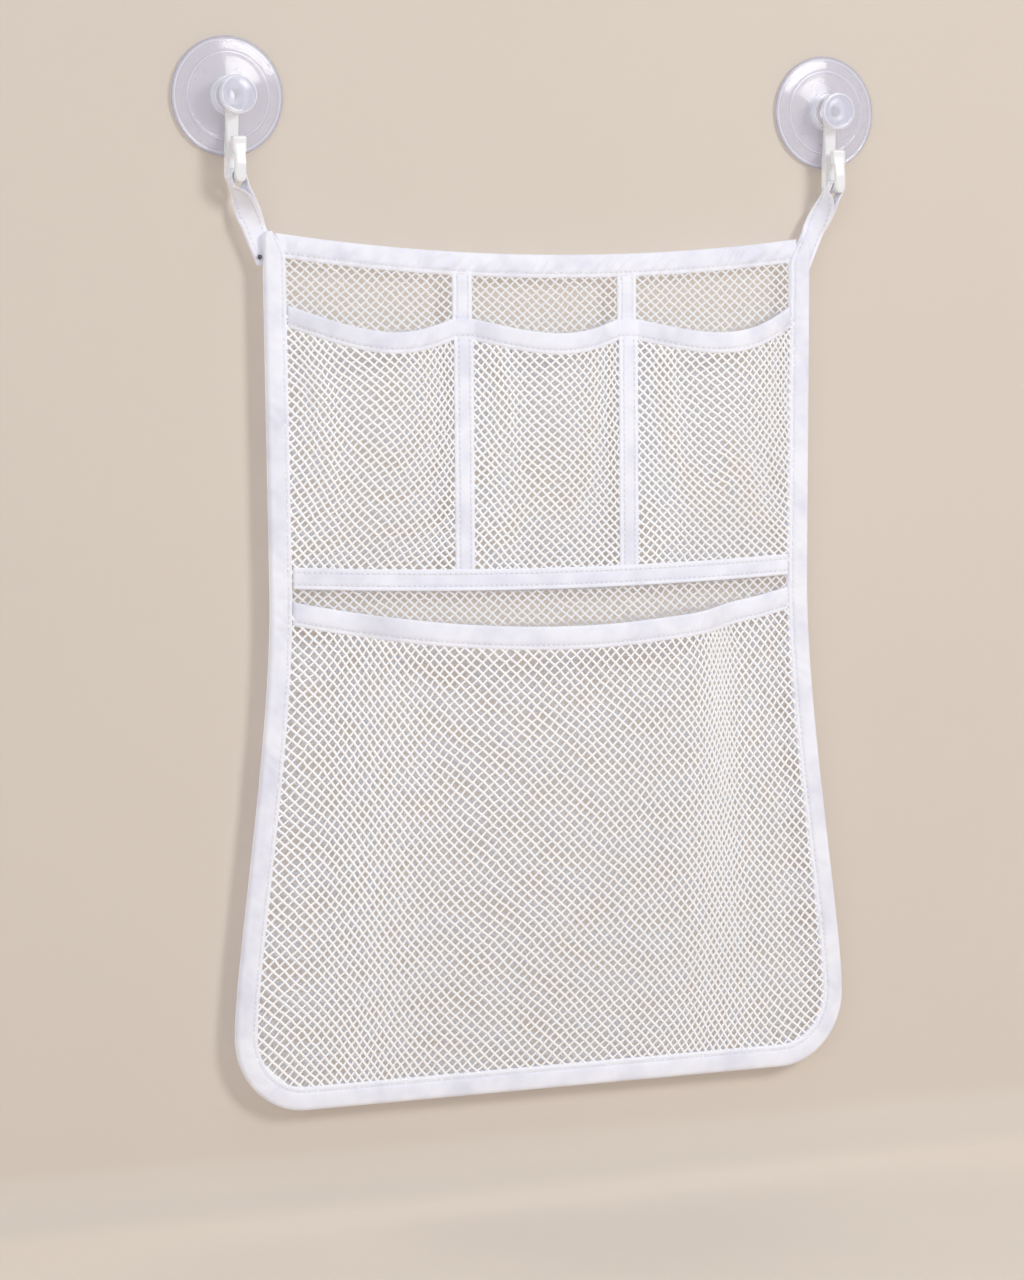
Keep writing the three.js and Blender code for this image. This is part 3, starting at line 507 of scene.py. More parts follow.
def vinyl_material(context):
    """Clear soft vinyl: see-through face on, denser at its edges, rings and neck, with a painted
    dark outline at its outer rim, painted highlights at grazing angles, on its lip, round the
    knob's base and round the head's edge, painted pale and glowing inside its neck, and a glossy
    skin. Its cloth places are the radius and the stand."""
    colours = context.scene.organizer_colours
    finish = Finish("clear_vinyl")
    facing = finish.node("ShaderNodeLayerWeight", None, {"Blend": 0.35}, output=1)
    haze = finish.noise(70.0)
    radius, stand = finish.cloth()

    def band(middle, reach):
        """A bell over the radius, its middle and reach in millimetres."""
        return ((radius - middle * MM) / (reach * MM)).bell()

    head = finish.math("GREATER_THAN", stand, 12.5 * MM)
    inner = finish.math("LESS_THAN", radius, 3.4 * MM)
    # the lip band is a painted highlight and the outer band a painted dark outline; the ring band
    # only thickens the vinyl
    lip, outer, ring = band(28.3, 0.5), band(29.9, 0.7), band(21.8, 0.35)
    # painted highlights round the head's edge and round the knob's base
    rim = band(9.3, 0.5) * head
    flange = finish.math("COMPARE", radius, 8.6 * MM, 1.5 * MM) * (1 - head)
    ribs = band(9.7, 0.4) + band(8.3, 0.4)
    # painted highlight at grazing angles
    edge = facing * facing
    # the neck is made opaque, painted pale and glowing, in place of the shade in its bore
    neck = inner * (1 - head)
    no_glow, neck_glow = (0, 0, 0), (0.4, 0.4, 0.43)
    # colour of the painted highlights
    painted_highlight = (0.93, 0.94, 0.99)
    # colour of the painted dark outline at the outer rim
    dark = (0.42, 0.41, 0.52)
    # painted highlights and the painted pale neck mixed into the vinyl's colour
    pale = finish.mix(edge + 0.5 * lip + 0.7 * flange + neck + rim, colours.vinyl, painted_highlight)
    cup = 0.26 + 0.08 * haze + 0.45 * edge + 0.2 * lip + 0.3 * outer + 0.2 * ring
    body = cup + (0.25 + 0.3 * ribs) * flange + 0.5 * rim
    return finish.set(
        # painted dark outline at the outer rim
        Base_Color=finish.mix(0.8 * outer, pale, dark),
        Alpha=finish.math("MAXIMUM", finish.math("MAXIMUM", body, 0.32 * head), neck),
        # painted glow: the neck emits light though it is no lamp
        Emission_Color=finish.mix(neck, no_glow, neck_glow),
        Emission_Strength=1.0,
        Roughness=0.08 + 0.08 * haze,
        Normal=finish.bump(haze, 0.06, 0.2 * MM),
        Coat_Weight=0.6,
        Coat_Roughness=0.06,
        IOR=1.52,
    )


# The bag's outline and the curves across it


class Outline:
    """Right half of the bag's outline, from the top corner down the side and along the bottom."""

    def __init__(self, bag):
        top = np.array([bag.top_half_width, bag.top_drop])
        waist = np.array([bag.waist_half_width, bag.waist_drop])
        wide = np.array([bag.flare_half_width, bag.flare_drop])
        foot = np.array([bag.flare_half_width - bag.corner_radius, bag.bottom_drop])
        middle = np.array([0, bag.bottom_drop])
        round_share = 0.55
        flare = np.array([0, (bag.flare_drop - bag.waist_drop) / 3])
        down = np.array([0, (bag.bottom_drop - bag.flare_drop) * round_share])
        out = np.array([bag.corner_radius * round_share, 0])
        t = np.linspace(0, 1, 160)
        side = np.linspace(top, waist, len(t))
        flaring = bezier([waist, waist + flare, wide - flare / 2, wide], t)
        turning = bezier([wide, wide + down, foot + out, foot], t)
        bottom = np.linspace(foot, middle, len(t))
        self.points = np.concatenate([side, flaring[1:], turning[1:], bottom[1:]])
        self.lengths = lengths_along(self.points)
        tangent = unit(np.gradient(self.points, self.lengths, axis=0))
        self.inward = np.stack([-tangent[:, 1], tangent[:, 0]], axis=1)
        self.falling = len(side) + len(flaring) + len(turning) - 2

    def at(self, lengths):
        """Points and inward directions at lengths along the half."""
        points = read_off(lengths, self.lengths, self.points)
        return points, unit(read_off(lengths, self.lengths, self.inward))

    def half_width(self, drop):
        """Half the bag's width at a drop."""
        part = self.points[: self.falling]
        return np.interp(drop, part[:, 1], part[:, 0])

    def inset(self, x, drop):
        """How far inside the outline places are: the least distance to the outline's points."""
        line = self.points[::3]
        reach = np.abs(np.asarray(x)).ravel()[:, None] - line[None, :, 0]
        fall = np.asarray(drop).ravel()[:, None] - line[None, :, 1]
        least = np.sqrt((reach**2 + fall**2).min(axis=1)).reshape(np.shape(x))
        return np.where(np.abs(x) < self.half_width(drop), least, -least)


class Bag:
    """The bag's curves: drops of its edges and stands of its cloths, from the settings."""

    def __init__(self, context):
        scene = context.scene
        self.sizes = scene.organizer_bag
        self.pocket = scene.organizer_pockets
        self.net = scene.organizer_nets
        self.seam = scene.organizer_stitches.seam
        self.outline = Outline(self.sizes)
        # Cloth shows from a gap inside the edging, and from a gap beside each divider tape
        gap = 0.6 * MM
        self.margin = self.sizes.binding_width + gap
        half_tape = self.pocket.tape_width / 2 + gap
        self.inner = self.pocket.divider_half_span - half_tape
        self.outer = self.pocket.divider_half_span + half_tape
        self.back_stand = edge_stand("back_net")
        self.pocket_stand = edge_stand("pocket_panel_net")

    def bow(self, x, half_span):
        """A flat arch: 1 in the middle and 0 at the half span."""
        return 1 - (x / half_span) ** 2

    def top_drop(self, x):
        """Top edge: its drop at the corners plus an arched sag."""
        return self.sizes.top_drop + self.sizes.top_sag * self.bow(x, self.sizes.top_half_width)

    def hem_drop(self, x):
        """Upper edge of the hem band: its drop at the sides plus an arched sag."""
        return self.pocket.hem_drop + self.pocket.hem_sag * self.bow(x, self.sizes.waist_half_width)

    def large_rim_drop(self, x):
        """Large pocket's rim: its drop at the sides plus an arched sag."""
        sag = self.pocket.large_rim_sag * self.bow(x, self.sizes.waist_half_width)
        return self.pocket.large_rim_drop + sag

    def shares(self, x, edge):
        """Shares across the middle pocket and across the side pocket where x lies."""
        middle = np.clip((x + self.inner) / (2 * self.inner), 0, 1)
        side = np.clip((np.abs(x) - self.outer) / (edge - self.outer), 0, 1)
        return middle, side

    def panel_rim_drop(self, x):
        """Small pockets' rims: straight between the seams, with a sine sag in each pocket."""
        pocket = self.pocket
        edge = self.outline.half_width(pocket.divider_drop) - self.margin
        middle, side = self.shares(x, edge)
        sag = pocket.middle_sag * np.sin(np.pi * middle) * (np.abs(x) < self.inner)
        rise = (pocket.outer_drop - pocket.divider_drop) * side
        return pocket.divider_drop + sag + rise + pocket.side_sag * np.sin(np.pi * side)

    def panel_swell(self, x, drop):
        """How far the small pockets' cloth stands out: a sine across each pocket, fading to the
        lower seam, with an upright ridge and hollow near each pocket's left flank."""
        pocket = self.pocket
        top = self.panel_rim_drop(x) + pocket.rim_width
        down = np.clip((drop - top) / (self.hem_drop(x) - top), 0, 1)
        edge = self.outline.half_width(drop) - self.margin
        middle, side = self.shares(x, edge)
        fade = 1 - down**2.4
        across = pocket.middle_bulge * np.sin(np.pi * middle) * (np.abs(x) < self.inner)
        across = across + pocket.side_bulge * np.clip(np.sin(np.pi * side), 0, 1)
        folds = 0
        side_span = edge - self.outer
        flanks = ((-edge, side_span), (-self.inner, 2 * self.inner), (self.outer, side_span))
        ridge, ridge_reach, ridge_share = 3.4 * MM, 4.5 * MM, 0.15
        hollow, hollow_reach, hollow_share = 2.6 * MM, 9 * MM, 0.34
        lean = 10 * MM
        for start, span in flanks:
            slant = lean * (down - 0.3)
            folds = folds + ridge * hump(x, start + ridge_share * span + slant, ridge_reach)
            folds = folds - hollow * hump(x, start + hollow_share * span + slant, hollow_reach)
        from_divider = np.abs(np.abs(x) - pocket.divider_half_span)
        inside = ease(from_divider, pocket.tape_width / 2, 14 * MM)
        inside = inside * ease(edge - np.abs(x), 0, 8 * MM)
        return (across + folds * inside * ease(down, -0.1, 0.25)) * fade

    def panel_gather(self, x, drop):
        """Extra cloth per length across the small pockets: most beside each pocket's left flank,
        fanning out and fading downwards."""
        top = self.pocket.divider_drop + self.pocket.rim_width
        down = np.clip((drop - top) / (self.pocket.hem_drop - top), 0, 1)
        reach = (9 + 10 * down) * MM
        beside = 9 * MM
        flanks = (-self.sizes.waist_half_width + self.margin, -self.inner, self.outer)
        middles = [flank + beside + reach / 3 for flank in flanks]
        return sum((0.5 - 0.35 * down) * hump(x, middle, reach) for middle in middles)

    def large_gather(self, x, drop):
        """Extra cloth per length across the large pocket: most over its two shoulders."""
        return 0.45 * hump(x, 98 * MM, 32 * MM) + 0.5 * hump(x, -102 * MM, 26 * MM)

    def large_swell(self, x, drop):
        """How far the large pocket's cloth stands out: a blunt sine across, fading to the bottom,
        with a fuller shoulder and a valley near each side."""
        top = self.large_rim_drop(x)
        down = np.clip((drop - top) / (self.sizes.bottom_drop - self.margin - top), 0, 1)
        half = self.outline.half_width(drop) - self.margin
        share = np.clip((x / half + 1) / 2, 0, 1)
        swell = self.pocket.large_bulge * np.clip(np.sin(np.pi * share), 0, 1) ** 1.2
        shoulder, valley = 4.5 * MM, 4 * MM
        right_valley, left_valley = 107 * MM + 10 * MM * down, -112 * MM - 14 * MM * down
        right = shoulder * hump(x, 78 * MM, 15 * MM) - valley * hump(x, right_valley, 12 * MM)
        left = shoulder * hump(x, -84 * MM, 18 * MM) - valley * hump(x, left_valley, 10 * MM)
        slack = 1.2 * MM * drift(x + 0.6 * drop, 150 * MM, 1) * ease(down, 0, 0.3)
        waves = (right + left) * ease(half - np.abs(x), 0, 20 * MM) + slack * np.sin(np.pi * share)
        return (swell + waves * (1 - 0.4 * down)) * (1 - down**2.6)

    def on_back(self, x, drop):
        """Where the back net reaches: a hem inside the outline and below the top edge."""
        hem = self.net.hem
        return (self.outline.inset(x, drop) > hem) & (drop > self.top_drop(x) + hem)

    def on_panel(self, x, drop):
        """Where the small pockets' net reaches: from their rims to under the hem band."""
        hem = self.net.hem
        below = drop > self.panel_rim_drop(x) + hem
        above = drop < self.hem_drop(x) + self.pocket.tape_width - hem / 2
        return (self.outline.inset(x, drop) > hem) & below & above

    def on_large(self, x, drop):
        """Where the large pocket's net reaches: from its rim down to the outline."""
        hem = self.net.hem
        below = drop > self.large_rim_drop(x) + hem
        return (self.outline.inset(x, drop) > hem) & below

    def painted_cover_shade(self, x, drop):
        """Painted shade on the back net: full behind the pockets, and a third elsewhere."""
        above = drop < self.hem_drop(x) + self.pocket.tape_width
        small = (drop > self.panel_rim_drop(x)) & above
        return np.where(small | (drop > self.large_rim_drop(x)), 1.0, 0.35)

    def flat(self, s, t):
        """Places of the back net, which wanders a little to and from the wall."""
        wander = 0.35 * MM * drift(s + 0.7 * t, 90 * MM, 7)
        return on_bag(s, self.back_stand + wander, t)

    def draped(self, swell, gather):
        """Places a flat cloth on a swelling front: x is found where the cloth's length across the
        swell, the sum of sqrt(dx^2 + dswell^2) * (1 + gather) from the middle, equals the place
        on the cloth."""

        def place(s, t):
            table = np.linspace(-1, 1, 700) * self.sizes.flare_half_width
            drops = t.mean(axis=0)
            front = swell(table[None, :], drops[:, None])
            steps = np.hypot(np.diff(table)[None], np.diff(front, axis=1))
            steps = steps * (1 + gather(table[None, 1:], drops[:, None]))
            arc = np.concatenate([np.zeros((len(drops), 1)), np.cumsum(steps, axis=1)], axis=1)
            arc = arc - np.array([np.interp(0, table, row) for row in arc])[:, None]
            x = np.stack([np.interp(s[:, k], arc[k], table) for k in range(len(drops))], axis=1)
            return on_bag(x, self.pocket_stand + swell(x, t), t)

        return place


# Tapes


class Run:
    """A tape's frames: where one edge runs, the way across the tape and the way out of it."""

    def __init__(self, edge, across, out):
        self.edge = edge
        self.across = np.broadcast_to(across, edge.shape)
        self.out = np.broadcast_to(out, edge.shape)
        self.length = lengths_along(edge)

    def at(self, across, out):
        """edge + across * its way + out * its way, for each frame."""
        across, out = np.reshape(across, (-1, 1)), np.reshape(out, (-1, 1))
        return self.edge + self.across * across + self.out * out


def folded_section(width, thickness, seam):
    """Section of a folded edging: a round fold, a puffed face, a dip along the seam, a thin lip.
    Half its thickness is 1 + a sine puff - a bell at the seam, rounded at both edges."""
    a = width * (1 - np.cos(np.pi * np.linspace(0, 1, 26))) / 2
    half = thickness / 2
    fold = np.sqrt(np.clip(1 - (1 - np.clip(a / half, 0, 1)) ** 2, 0, 1))
    puff = 0.16 * np.sin(np.pi * np.clip(a / (width - seam), 0, 1))
    dip = 0.34 * hump(a, width - seam, 0.6 * MM)
    lip = 0.16 * ease(a, width - seam, width)
    edge = 0.4 + 0.6 * np.sqrt(np.clip((width - a) / (0.6 * MM), 0, 1))
    shape = half * fold * (1 + puff - dip - lip) * edge
    across = np.concatenate([a, a[-1:0:-1]])
    out = np.concatenate([shape, -shape[-1:0:-1]])
    return across, out, width - across


def flat_section(width, thickness, seam):
    """Section of a plain tape sewn along both edges: flat behind, dipped along each seam."""
    a = width * (1 - np.cos(np.pi * np.linspace(0, 1, 24))) / 2
    inset = np.minimum(a, width - a)
    dip = 0.3 * hump(inset, seam, 0.6 * MM)
    edge = 0.35 + 0.65 * np.sqrt(np.clip(inset / (0.5 * MM), 0, 1))
    front = thickness * (1 - dip) * edge
    across = np.concatenate([a, a[::-1]])
    out = np.concatenate([front, np.zeros(len(a))])
    return across, out, np.concatenate([inset, inset])


def tongue(width, past_end):
    """Limits across a tape towards a tongue-shaped end: its outer edge is rounded in over five
    millimetres, and its inner edge slants in over fifteen."""
    outer = 1 - np.sqrt(np.clip(1 - (1 - np.clip(past_end / (5 * MM), 0, 1)) ** 2, 0, 1))
    slant = 1 - ease(past_end, -3 * MM, 15 * MM)
    return 0.24 * width * outer, width * (1 - 0.62 * slant)


def face_window(across, width):
    """0 at a tape's edges and 1 in its middle: a sine across it, to the power 0.8."""
    return np.sin(np.pi * np.clip(across / width, 0, 1)) ** 0.8


def ripple(s, across, width, pucker, seed):
    """How far a tape's face is raised: pucker times a slanting wave whose length wanders and that
    is higher than it is deep, most between the tape's edges."""
    wave = np.sin(TURN * (s + 0.9 * across) / (9 * MM) + 3 * drift(s, 60 * MM, seed))
    swing = 0.55 * wave * (0.55 + 0.45 * drift(s, 90 * MM, seed + 1))
    height = 0.45 + swing + 0.5 * drift(s, 25 * MM, seed + 2)
    return pucker * face_window(across, width) * height


def tape_piece(name, run, section, material, pucker, seed, creases=(), slim=0, tongues=False):
    """A tape carried along its run. Its face is rippled, and lowered at each crease. Its ends are
    rounded over their last millimetre, thinned over the length slim, and cut to tongues where
    asked."""
    across, out, inset = section
    s = run.length[:, None]
    width = across.max()
    raised = ripple(s, across, width, pucker, seed)
    crease_depth = 0.4 * MM * face_window(across, width)
    for place in creases:
        raised = raised - crease_depth * hump(s, place + 0.15 * across, 1.3 * MM)
    near_end = np.minimum(s, run.length[-1] - s)
    rounding = 0.3 + 0.7 * np.sqrt(np.clip(near_end / MM, 0, 1))
    if slim:
        rounding = rounding * (0.6 + 0.4 * ease(near_end, slim, slim + 2 * MM))
    depth = (out + raised * np.sign(out)) * rounding
    reach = across[None, :]
    if tongues:
        low, high = tongue(width, near_end)
        reach = low + (high - low) * across / width
    grid = run.edge[:, None] + run.across[:, None] * reach[..., None]
    grid = grid + run.out[:, None] * depth[..., None]
    quads, caps = skin(grid)
    cloth = np.stack(np.broadcast_arrays(s, inset[None]), axis=-1)
    return add_piece(name, grid, quads, caps, material, cloth)


def stitches(context, name, rows, material):
    """Rows of stitches: each stitch is a short capsule of four six-sided rings, laid along a line
    of points at about every pitch and tilted a little, its height along the line's way out."""
    stitch = context.scene.organizer_stitches
    angle = TURN * np.arange(6) / 6
    along = np.array([-1.0, -0.6, 0.6, 1.0])[:, None]
    girth = np.array([0.35, 1.0, 1.0, 0.35])[:, None]
    lengthways = along * stitch.length / 2 * np.ones(len(angle))
    sideways = girth * np.cos(angle) * stitch.width / 2
    upwards = girth * np.sin(angle) * stitch.width / 2
    rng = np.random.default_rng(len(rows))
    solids = []
    for line, out in rows:
        length = lengths_along(line)
        places = np.arange(stitch.pitch / 2, length[-1], stitch.pitch)
        places = places + 0.1 * stitch.pitch * rng.uniform(-1, 1, len(places))
        centre = read_off(places, length, line)
        ahead, behind = (read_off(places + step, length, line) for step in (MM / 2, -MM / 2))
        way = unit(ahead - behind)
        up = unit(read_off(places, length, np.broadcast_to(out, line.shape)))
        side = unit(np.cross(up, way))
        way = unit(way + side * rng.uniform(-0.05, 0.3, (len(places), 1)))
        grown = rng.uniform(0.8, 1.1, (len(places), 1, 1, 1))
        solids.append(
            centre[:, None, None]
            + way[:, None, None] * lengthways[None, ..., None] * grown
            + side[:, None, None] * sideways[None, ..., None] * grown
            + up[:, None, None] * upwards[None, ..., None] * grown
        )
    shape = np.concatenate(solids)
    quads, caps = skin(shape[0])
    starts = np.arange(len(shape)) * len(along) * len(angle)
    all_quads = (quads[None] + starts[:, None, None]).reshape(-1, 4)
    all_caps = [cap + start for start in starts for cap in caps]
    return add_piece(name, shape, all_quads, all_caps, material)


class Tape:
    """One tape of the bag: its frames, section and ripples, and the lines of its seams."""

    def __init__(self, node, run, section, width, pucker, seed, **ends):
        self.node = node
        self.run = run
        self.section = section
        self.width = width
        self.folds = (pucker, seed)
        self.ends = ends
        self.seams = []

    def sew(self, run, across, out, twice=False):
        """Adds a seam that follows the rippled face, and its twin on the back if asked."""
        out = out + ripple(run.length, across, self.width, *self.folds)
        self.seams.append((run.at(across, out), run.out))
        if twice:
            self.seams.append((run.at(across, -out), -run.out))

    def make(self, name, material):
        """Makes the tape's piece, which rides on the bag."""
        piece = tape_piece(name, self.run, self.section, material, *self.folds, **self.ends)
        dress(piece, "bag", "tape", self.node)


def side_run(bag):
    """Frames of the side edging, down the right, along the bottom and up the left."""
    lengths = np.linspace(0, bag.outline.lengths[-1], 480)
    points, inward = bag.outline.at(lengths)
    mirror = np.array([-1, 1])
    points = np.concatenate([points, points[-2::-1] * mirror])
    inward = np.concatenate([inward, inward[-2::-1] * mirror])
    stand = -(SIDE_LOW.y + SIDE_HIGH.y) / 2
    edge = on_bag(points[:, 0], stand, points[:, 1])
    across = np.stack([inward[:, 0], np.zeros(len(inward)), -inward[:, 1]], axis=1)
    return Run(edge, across, np.array([0, -1.0, 0]))


def level_run(node, count, drop, stand, swell=None, under=0):
    """Frames of a tape that crosses the bag, as many as count says, at its drop for each x and at
    its stand plus the swell of the cloth there. It reaches under its neighbours at both ends."""
    low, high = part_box(node)
    x = np.linspace(low.x - under, high.x + under, count)
    drops = drop(x)
    slope = np.zeros(count)
    if swell:
        stand = stand + swell(x, drops)
        slope = np.gradient(stand, x)
    out = unit(np.stack([-slope, -np.ones(count), np.zeros(count)], axis=1))
    return Run(on_bag(x, stand, drops), np.array([0, 0, -1.0]), out)


def folded_tapes(bag):
    """The folded edgings: round the sides and bottom, along the top, and along both rims."""
    seam, binding_width = bag.seam, bag.sizes.binding_width
    seam_height, rim_thickness = 0.72, 2.2 * MM

    def folded(node, run, width, thickness, pucker, seed, across=None, **ends):
        """One edging, sewn through along its lip."""
        section = folded_section(width, thickness, seam)
        tape = Tape(node, run, section, width, pucker, seed, **ends)
        across = width - seam if across is None else across
        tape.sew(run, across, seam_height * thickness / 2, twice=True)
        return tape

    side = side_run(bag)
    joins = np.array([110, 124, 238, 252, 268]) * MM - bag.sizes.top_drop
    side_ends = {"creases": [*joins, *(side.length[-1] - joins)], "tongues": True}
    near_end = np.minimum(side.length, side.length[-1] - side.length)
    low, high = tongue(binding_width, near_end)
    seam_line = low + (high - low) * (1 - seam / binding_width)
    deep = SIDE_HIGH.y - SIDE_LOW.y

    low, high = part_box("top_binding")
    under = 5 * MM
    top = level_run("top_binding", 420, bag.top_drop, -(low.y + high.y) / 2, under=under)
    stand = bag.pocket_stand
    panel = level_run("pocket_panel_rim", 420, bag.panel_rim_drop, stand, bag.panel_swell)
    large = level_run("large_pocket_rim", 300, bag.large_rim_drop, stand, bag.large_swell)
    return [
        folded("side_binding", side, binding_width, deep, 0.4 * MM, 1, seam_line, **side_ends),
        folded("top_binding", top, binding_width, high.y - low.y, 1.5 * MM, 2, slim=under),
        folded("pocket_panel_rim", panel, bag.pocket.rim_width, rim_thickness, 0.45 * MM, 3),
        folded("large_pocket_rim", large, binding_width, rim_thickness, 0.4 * MM, 4),
    ]


def plain_tapes(bag):
    """The plain tapes: the hem band, and an upper and a divider tape over each upright seam."""
    seam, width, thickness = bag.seam, bag.pocket.tape_width, bag.pocket.tape_thickness
    section = flat_section(width, thickness, seam)
    seam_height = 0.75

    def plain(node, run, sewn, pucker, seed, **ends):
        """One tape, sewn along both its edges over the frames given as sewn."""
        tape = Tape(node, run, section, width, pucker, seed, **ends)
        for across in (seam, width - seam):
            tape.sew(sewn, across, seam_height * thickness)
        return tape

    hem = level_run("hem_band", 240, bag.hem_drop, -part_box("hem_band")[1].y)
    tapes = [plain("hem_band", hem, hem, 0.25 * MM, 5)]
    under, frames, hidden = 3 * MM, 110, 8
    ways = np.array([1.0, 0, 0]), np.array([0, -1.0, 0])
    for node in UPRIGHTS:
        low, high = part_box(node)
        edge = on_bag(low.x, -high.y, np.linspace(-high.z - under, -low.z + under, frames))
        run, sewn = Run(edge, *ways), Run(edge[hidden:-hidden], *ways)
        tapes.append(plain(node, run, sewn, 0.2 * MM, 6, slim=under))
    return tapes


# Nets


def diamond_net(name, net, material, place, keep, half_width, drops, cell, painted_cover_shade=None):
    """A net of diamonds: crossings at every other point of a grid on the cloth, joined by two
    families of slanting strands. A strand is a four-sided tube whose ring at a crossing is its
    point +- half its width across the strand, a quarter depth out, and +- half its depth.
    place gives points from places on the cloth, and keep says which of them the net reaches.
    The last argument gives each point's painted shade from cloth in front of it, least at its back."""
    diamond_width, diamond_height = cell
    step_s, step_t = diamond_width / 2, diamond_height / 2
    columns = np.arange(-math.ceil(half_width / step_s), math.ceil(half_width / step_s) + 1)
    rows = np.arange(math.floor(drops[0] / step_t), math.ceil(drops[1] / step_t) + 1)
    s, t = np.meshgrid(columns * step_s, rows * step_t, indexing="ij")
    slack, creep = 1.1 * MM, 0.2 * MM
    rng = np.random.default_rng(len(name))
    loose_s = s + slack * drift(t + 0.3 * s, 120 * MM, 1) + creep * rng.standard_normal(s.shape)
    loose_t = t + slack * drift(s - 0.4 * t, 90 * MM, 2) + creep * rng.standard_normal(s.shape)
    points = place(loose_s, loose_t)
    crossings = (columns[:, None] + rows[None]) % 2 == 0
    kept = keep(points[..., 0], -points[..., 2]) & crossings
    out = np.cross(np.gradient(points, axis=0), np.gradient(points, axis=1))
    out = unit(out * -np.sign(out[..., 1:2]))
    all_points, all_quads, all_caps = [], [], []
    for slant, weight, lift in ((1, 1.12, 0.16), (-1, 0.88, -0.16)):
        flip = slice(None, None, slant)
        line_points, line_kept, line_out = points[:, flip], kept[:, flip], out[:, flip]
        ahead = np.zeros_like(line_kept)
        ahead[:-1, :-1] = line_kept[:-1, :-1] & line_kept[1:, 1:]
        behind = np.zeros_like(line_kept)
        behind[1:, 1:] = ahead[:-1, :-1]
        used = ahead | behind
        padded = np.pad(line_points, ((1, 1), (1, 1), (0, 0)), mode="edge")
        way = unit(padded[2:, 2:] - padded[:-2, :-2])
        side = unit(np.cross(line_out, way)) * (net.strand_width / 2 * weight)
        rise = line_out * (net.strand_depth / 2)
        middle = line_points + line_out * (lift * net.strand_depth)
        ring = np.stack([middle + side, middle + rise, middle - side, middle - rise], axis=2)
        ring[:, :, ::2] += rise[:, :, None] / 2
        first = np.full(used.shape, -1)
        first[used] = np.arange(used.sum()) * 4 + sum(len(part) for part in all_points)
        start = first[:-1, :-1][ahead[:-1, :-1]]
        stop = first[1:, 1:][ahead[:-1, :-1]]
        for k in range(4):
            after = (k + 1) % 4
            all_quads.append(np.stack([start + k, start + after, stop + after, stop + k], axis=1))
        begins = first[used & ~behind][:, None] + np.arange(4)[::-1]
        ends = first[used & ~ahead][:, None] + np.arange(4)
        all_caps += [begins, ends]
        all_points.append(ring[used].reshape(-1, 3))
    quads = np.concatenate(all_quads + all_caps)
    net_points = np.concatenate(all_points)
    piece = add_piece(name, net_points, quads, [], material)
    if painted_cover_shade:
        # painted shade: most on each strand's front, less on its sides, none on its back
        facing = np.tile([0.7, 1.0, 0.7, 0.0], len(net_points) // 4)
        layer = piece.data.attributes.new("PaintedShade", "FLOAT", "POINT")
        painted_shade_share = painted_cover_shade(net_points[:, 0], -net_points[:, 2])
        layer.data.foreach_set("value", painted_shade_share * facing)
    area = kept.sum() * diamond_width * diamond_height / 2
    reach_s = s[kept].max() - s[kept].min()
    reach_t = t[kept].max() - t[kept].min()
    return piece, (reach_s, reach_t), area


# Operators


class OrganizerOperator(bpy.types.Operator):
    bl_options = {"REGISTER", "UNDO"}


class ORGANIZER_OT_suction_cups(OrganizerOperator):
    """Turned suction cups with their knobs"""

    bl_idname = "organizer.suction_cups"
    bl_label = "Suction cups"

    def profile(self):
        """Radius and stand of the cup's surface, from its hollow round the lip to the knob's top.
        Corners are cut three times at a quarter and three quarters of each side."""
        corners = np.array(
            [
                (0, 2.2), (10, 1.8), (20, 1.1), (27, 0.25), (28, 0), (30, 0), (30, 0.8),
                (29.4, 1.4), (28.6, 1.1), (27.6, 1.15), (22.6, 1.75), (22.2, 2.5), (21.2, 2.6),
                (20.6, 2.4), (12, 3.1), (9.5, 3.5), (9.95, 3.8), (9.95, 4.2), (9.2, 4.4),
                (9.2, 4.55), (9.7, 4.7), (9.7, 5.1), (9.0, 5.2), (6.4, 5.2), (5.6, 4.95),
                (4.8, 5.2), (3.05, 5.2), (3.05, 11.8), (3.9, 12.75), (8.6, 12.8), (9.8, 13.4),
                (9.8, 16.1), (9.2, 16.8), (8.4, 16.9), (7.6, 16.7), (4.5, 17.0), (0, 17.1),
            ]
        )
        line = corners * MM
        for _ in range(3):
            first = 0.75 * line[:-1] + 0.25 * line[1:]
            second = 0.25 * line[:-1] + 0.75 * line[1:]
            cut = np.stack([first, second], axis=1).reshape(-1, 2)
            line = np.concatenate([line[:1], cut, line[-1:]])
        return line

    def execute(self, context):
        line = self.profile()
        angle = TURN * np.arange(96) / 96
        material = vinyl_material(context)
        for side in SIDES:
            low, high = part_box(f"{side}_suction_cup")
            centre = (low.x + high.x) / 2
            radius = np.maximum(line[:, 0], 1e-6)[:, None]
            x = centre + radius * np.cos(angle)
            z = (low.z + high.z) / 2 + radius * np.sin(angle)
            grid = np.stack(np.broadcast_arrays(x, -line[:, 1:2], z), axis=-1)
            quads, caps = skin(grid)
            place = np.stack(np.broadcast_arrays(radius, line[:, 1:2] + 0 * angle), axis=-1)
            piece = add_piece(f"clear_{side}_suction_cup", grid, quads, caps, material, place)
            dress(piece, "cups", "cup_vinyl", f"{side}_suction_cup")
        return {"FINISHED"}


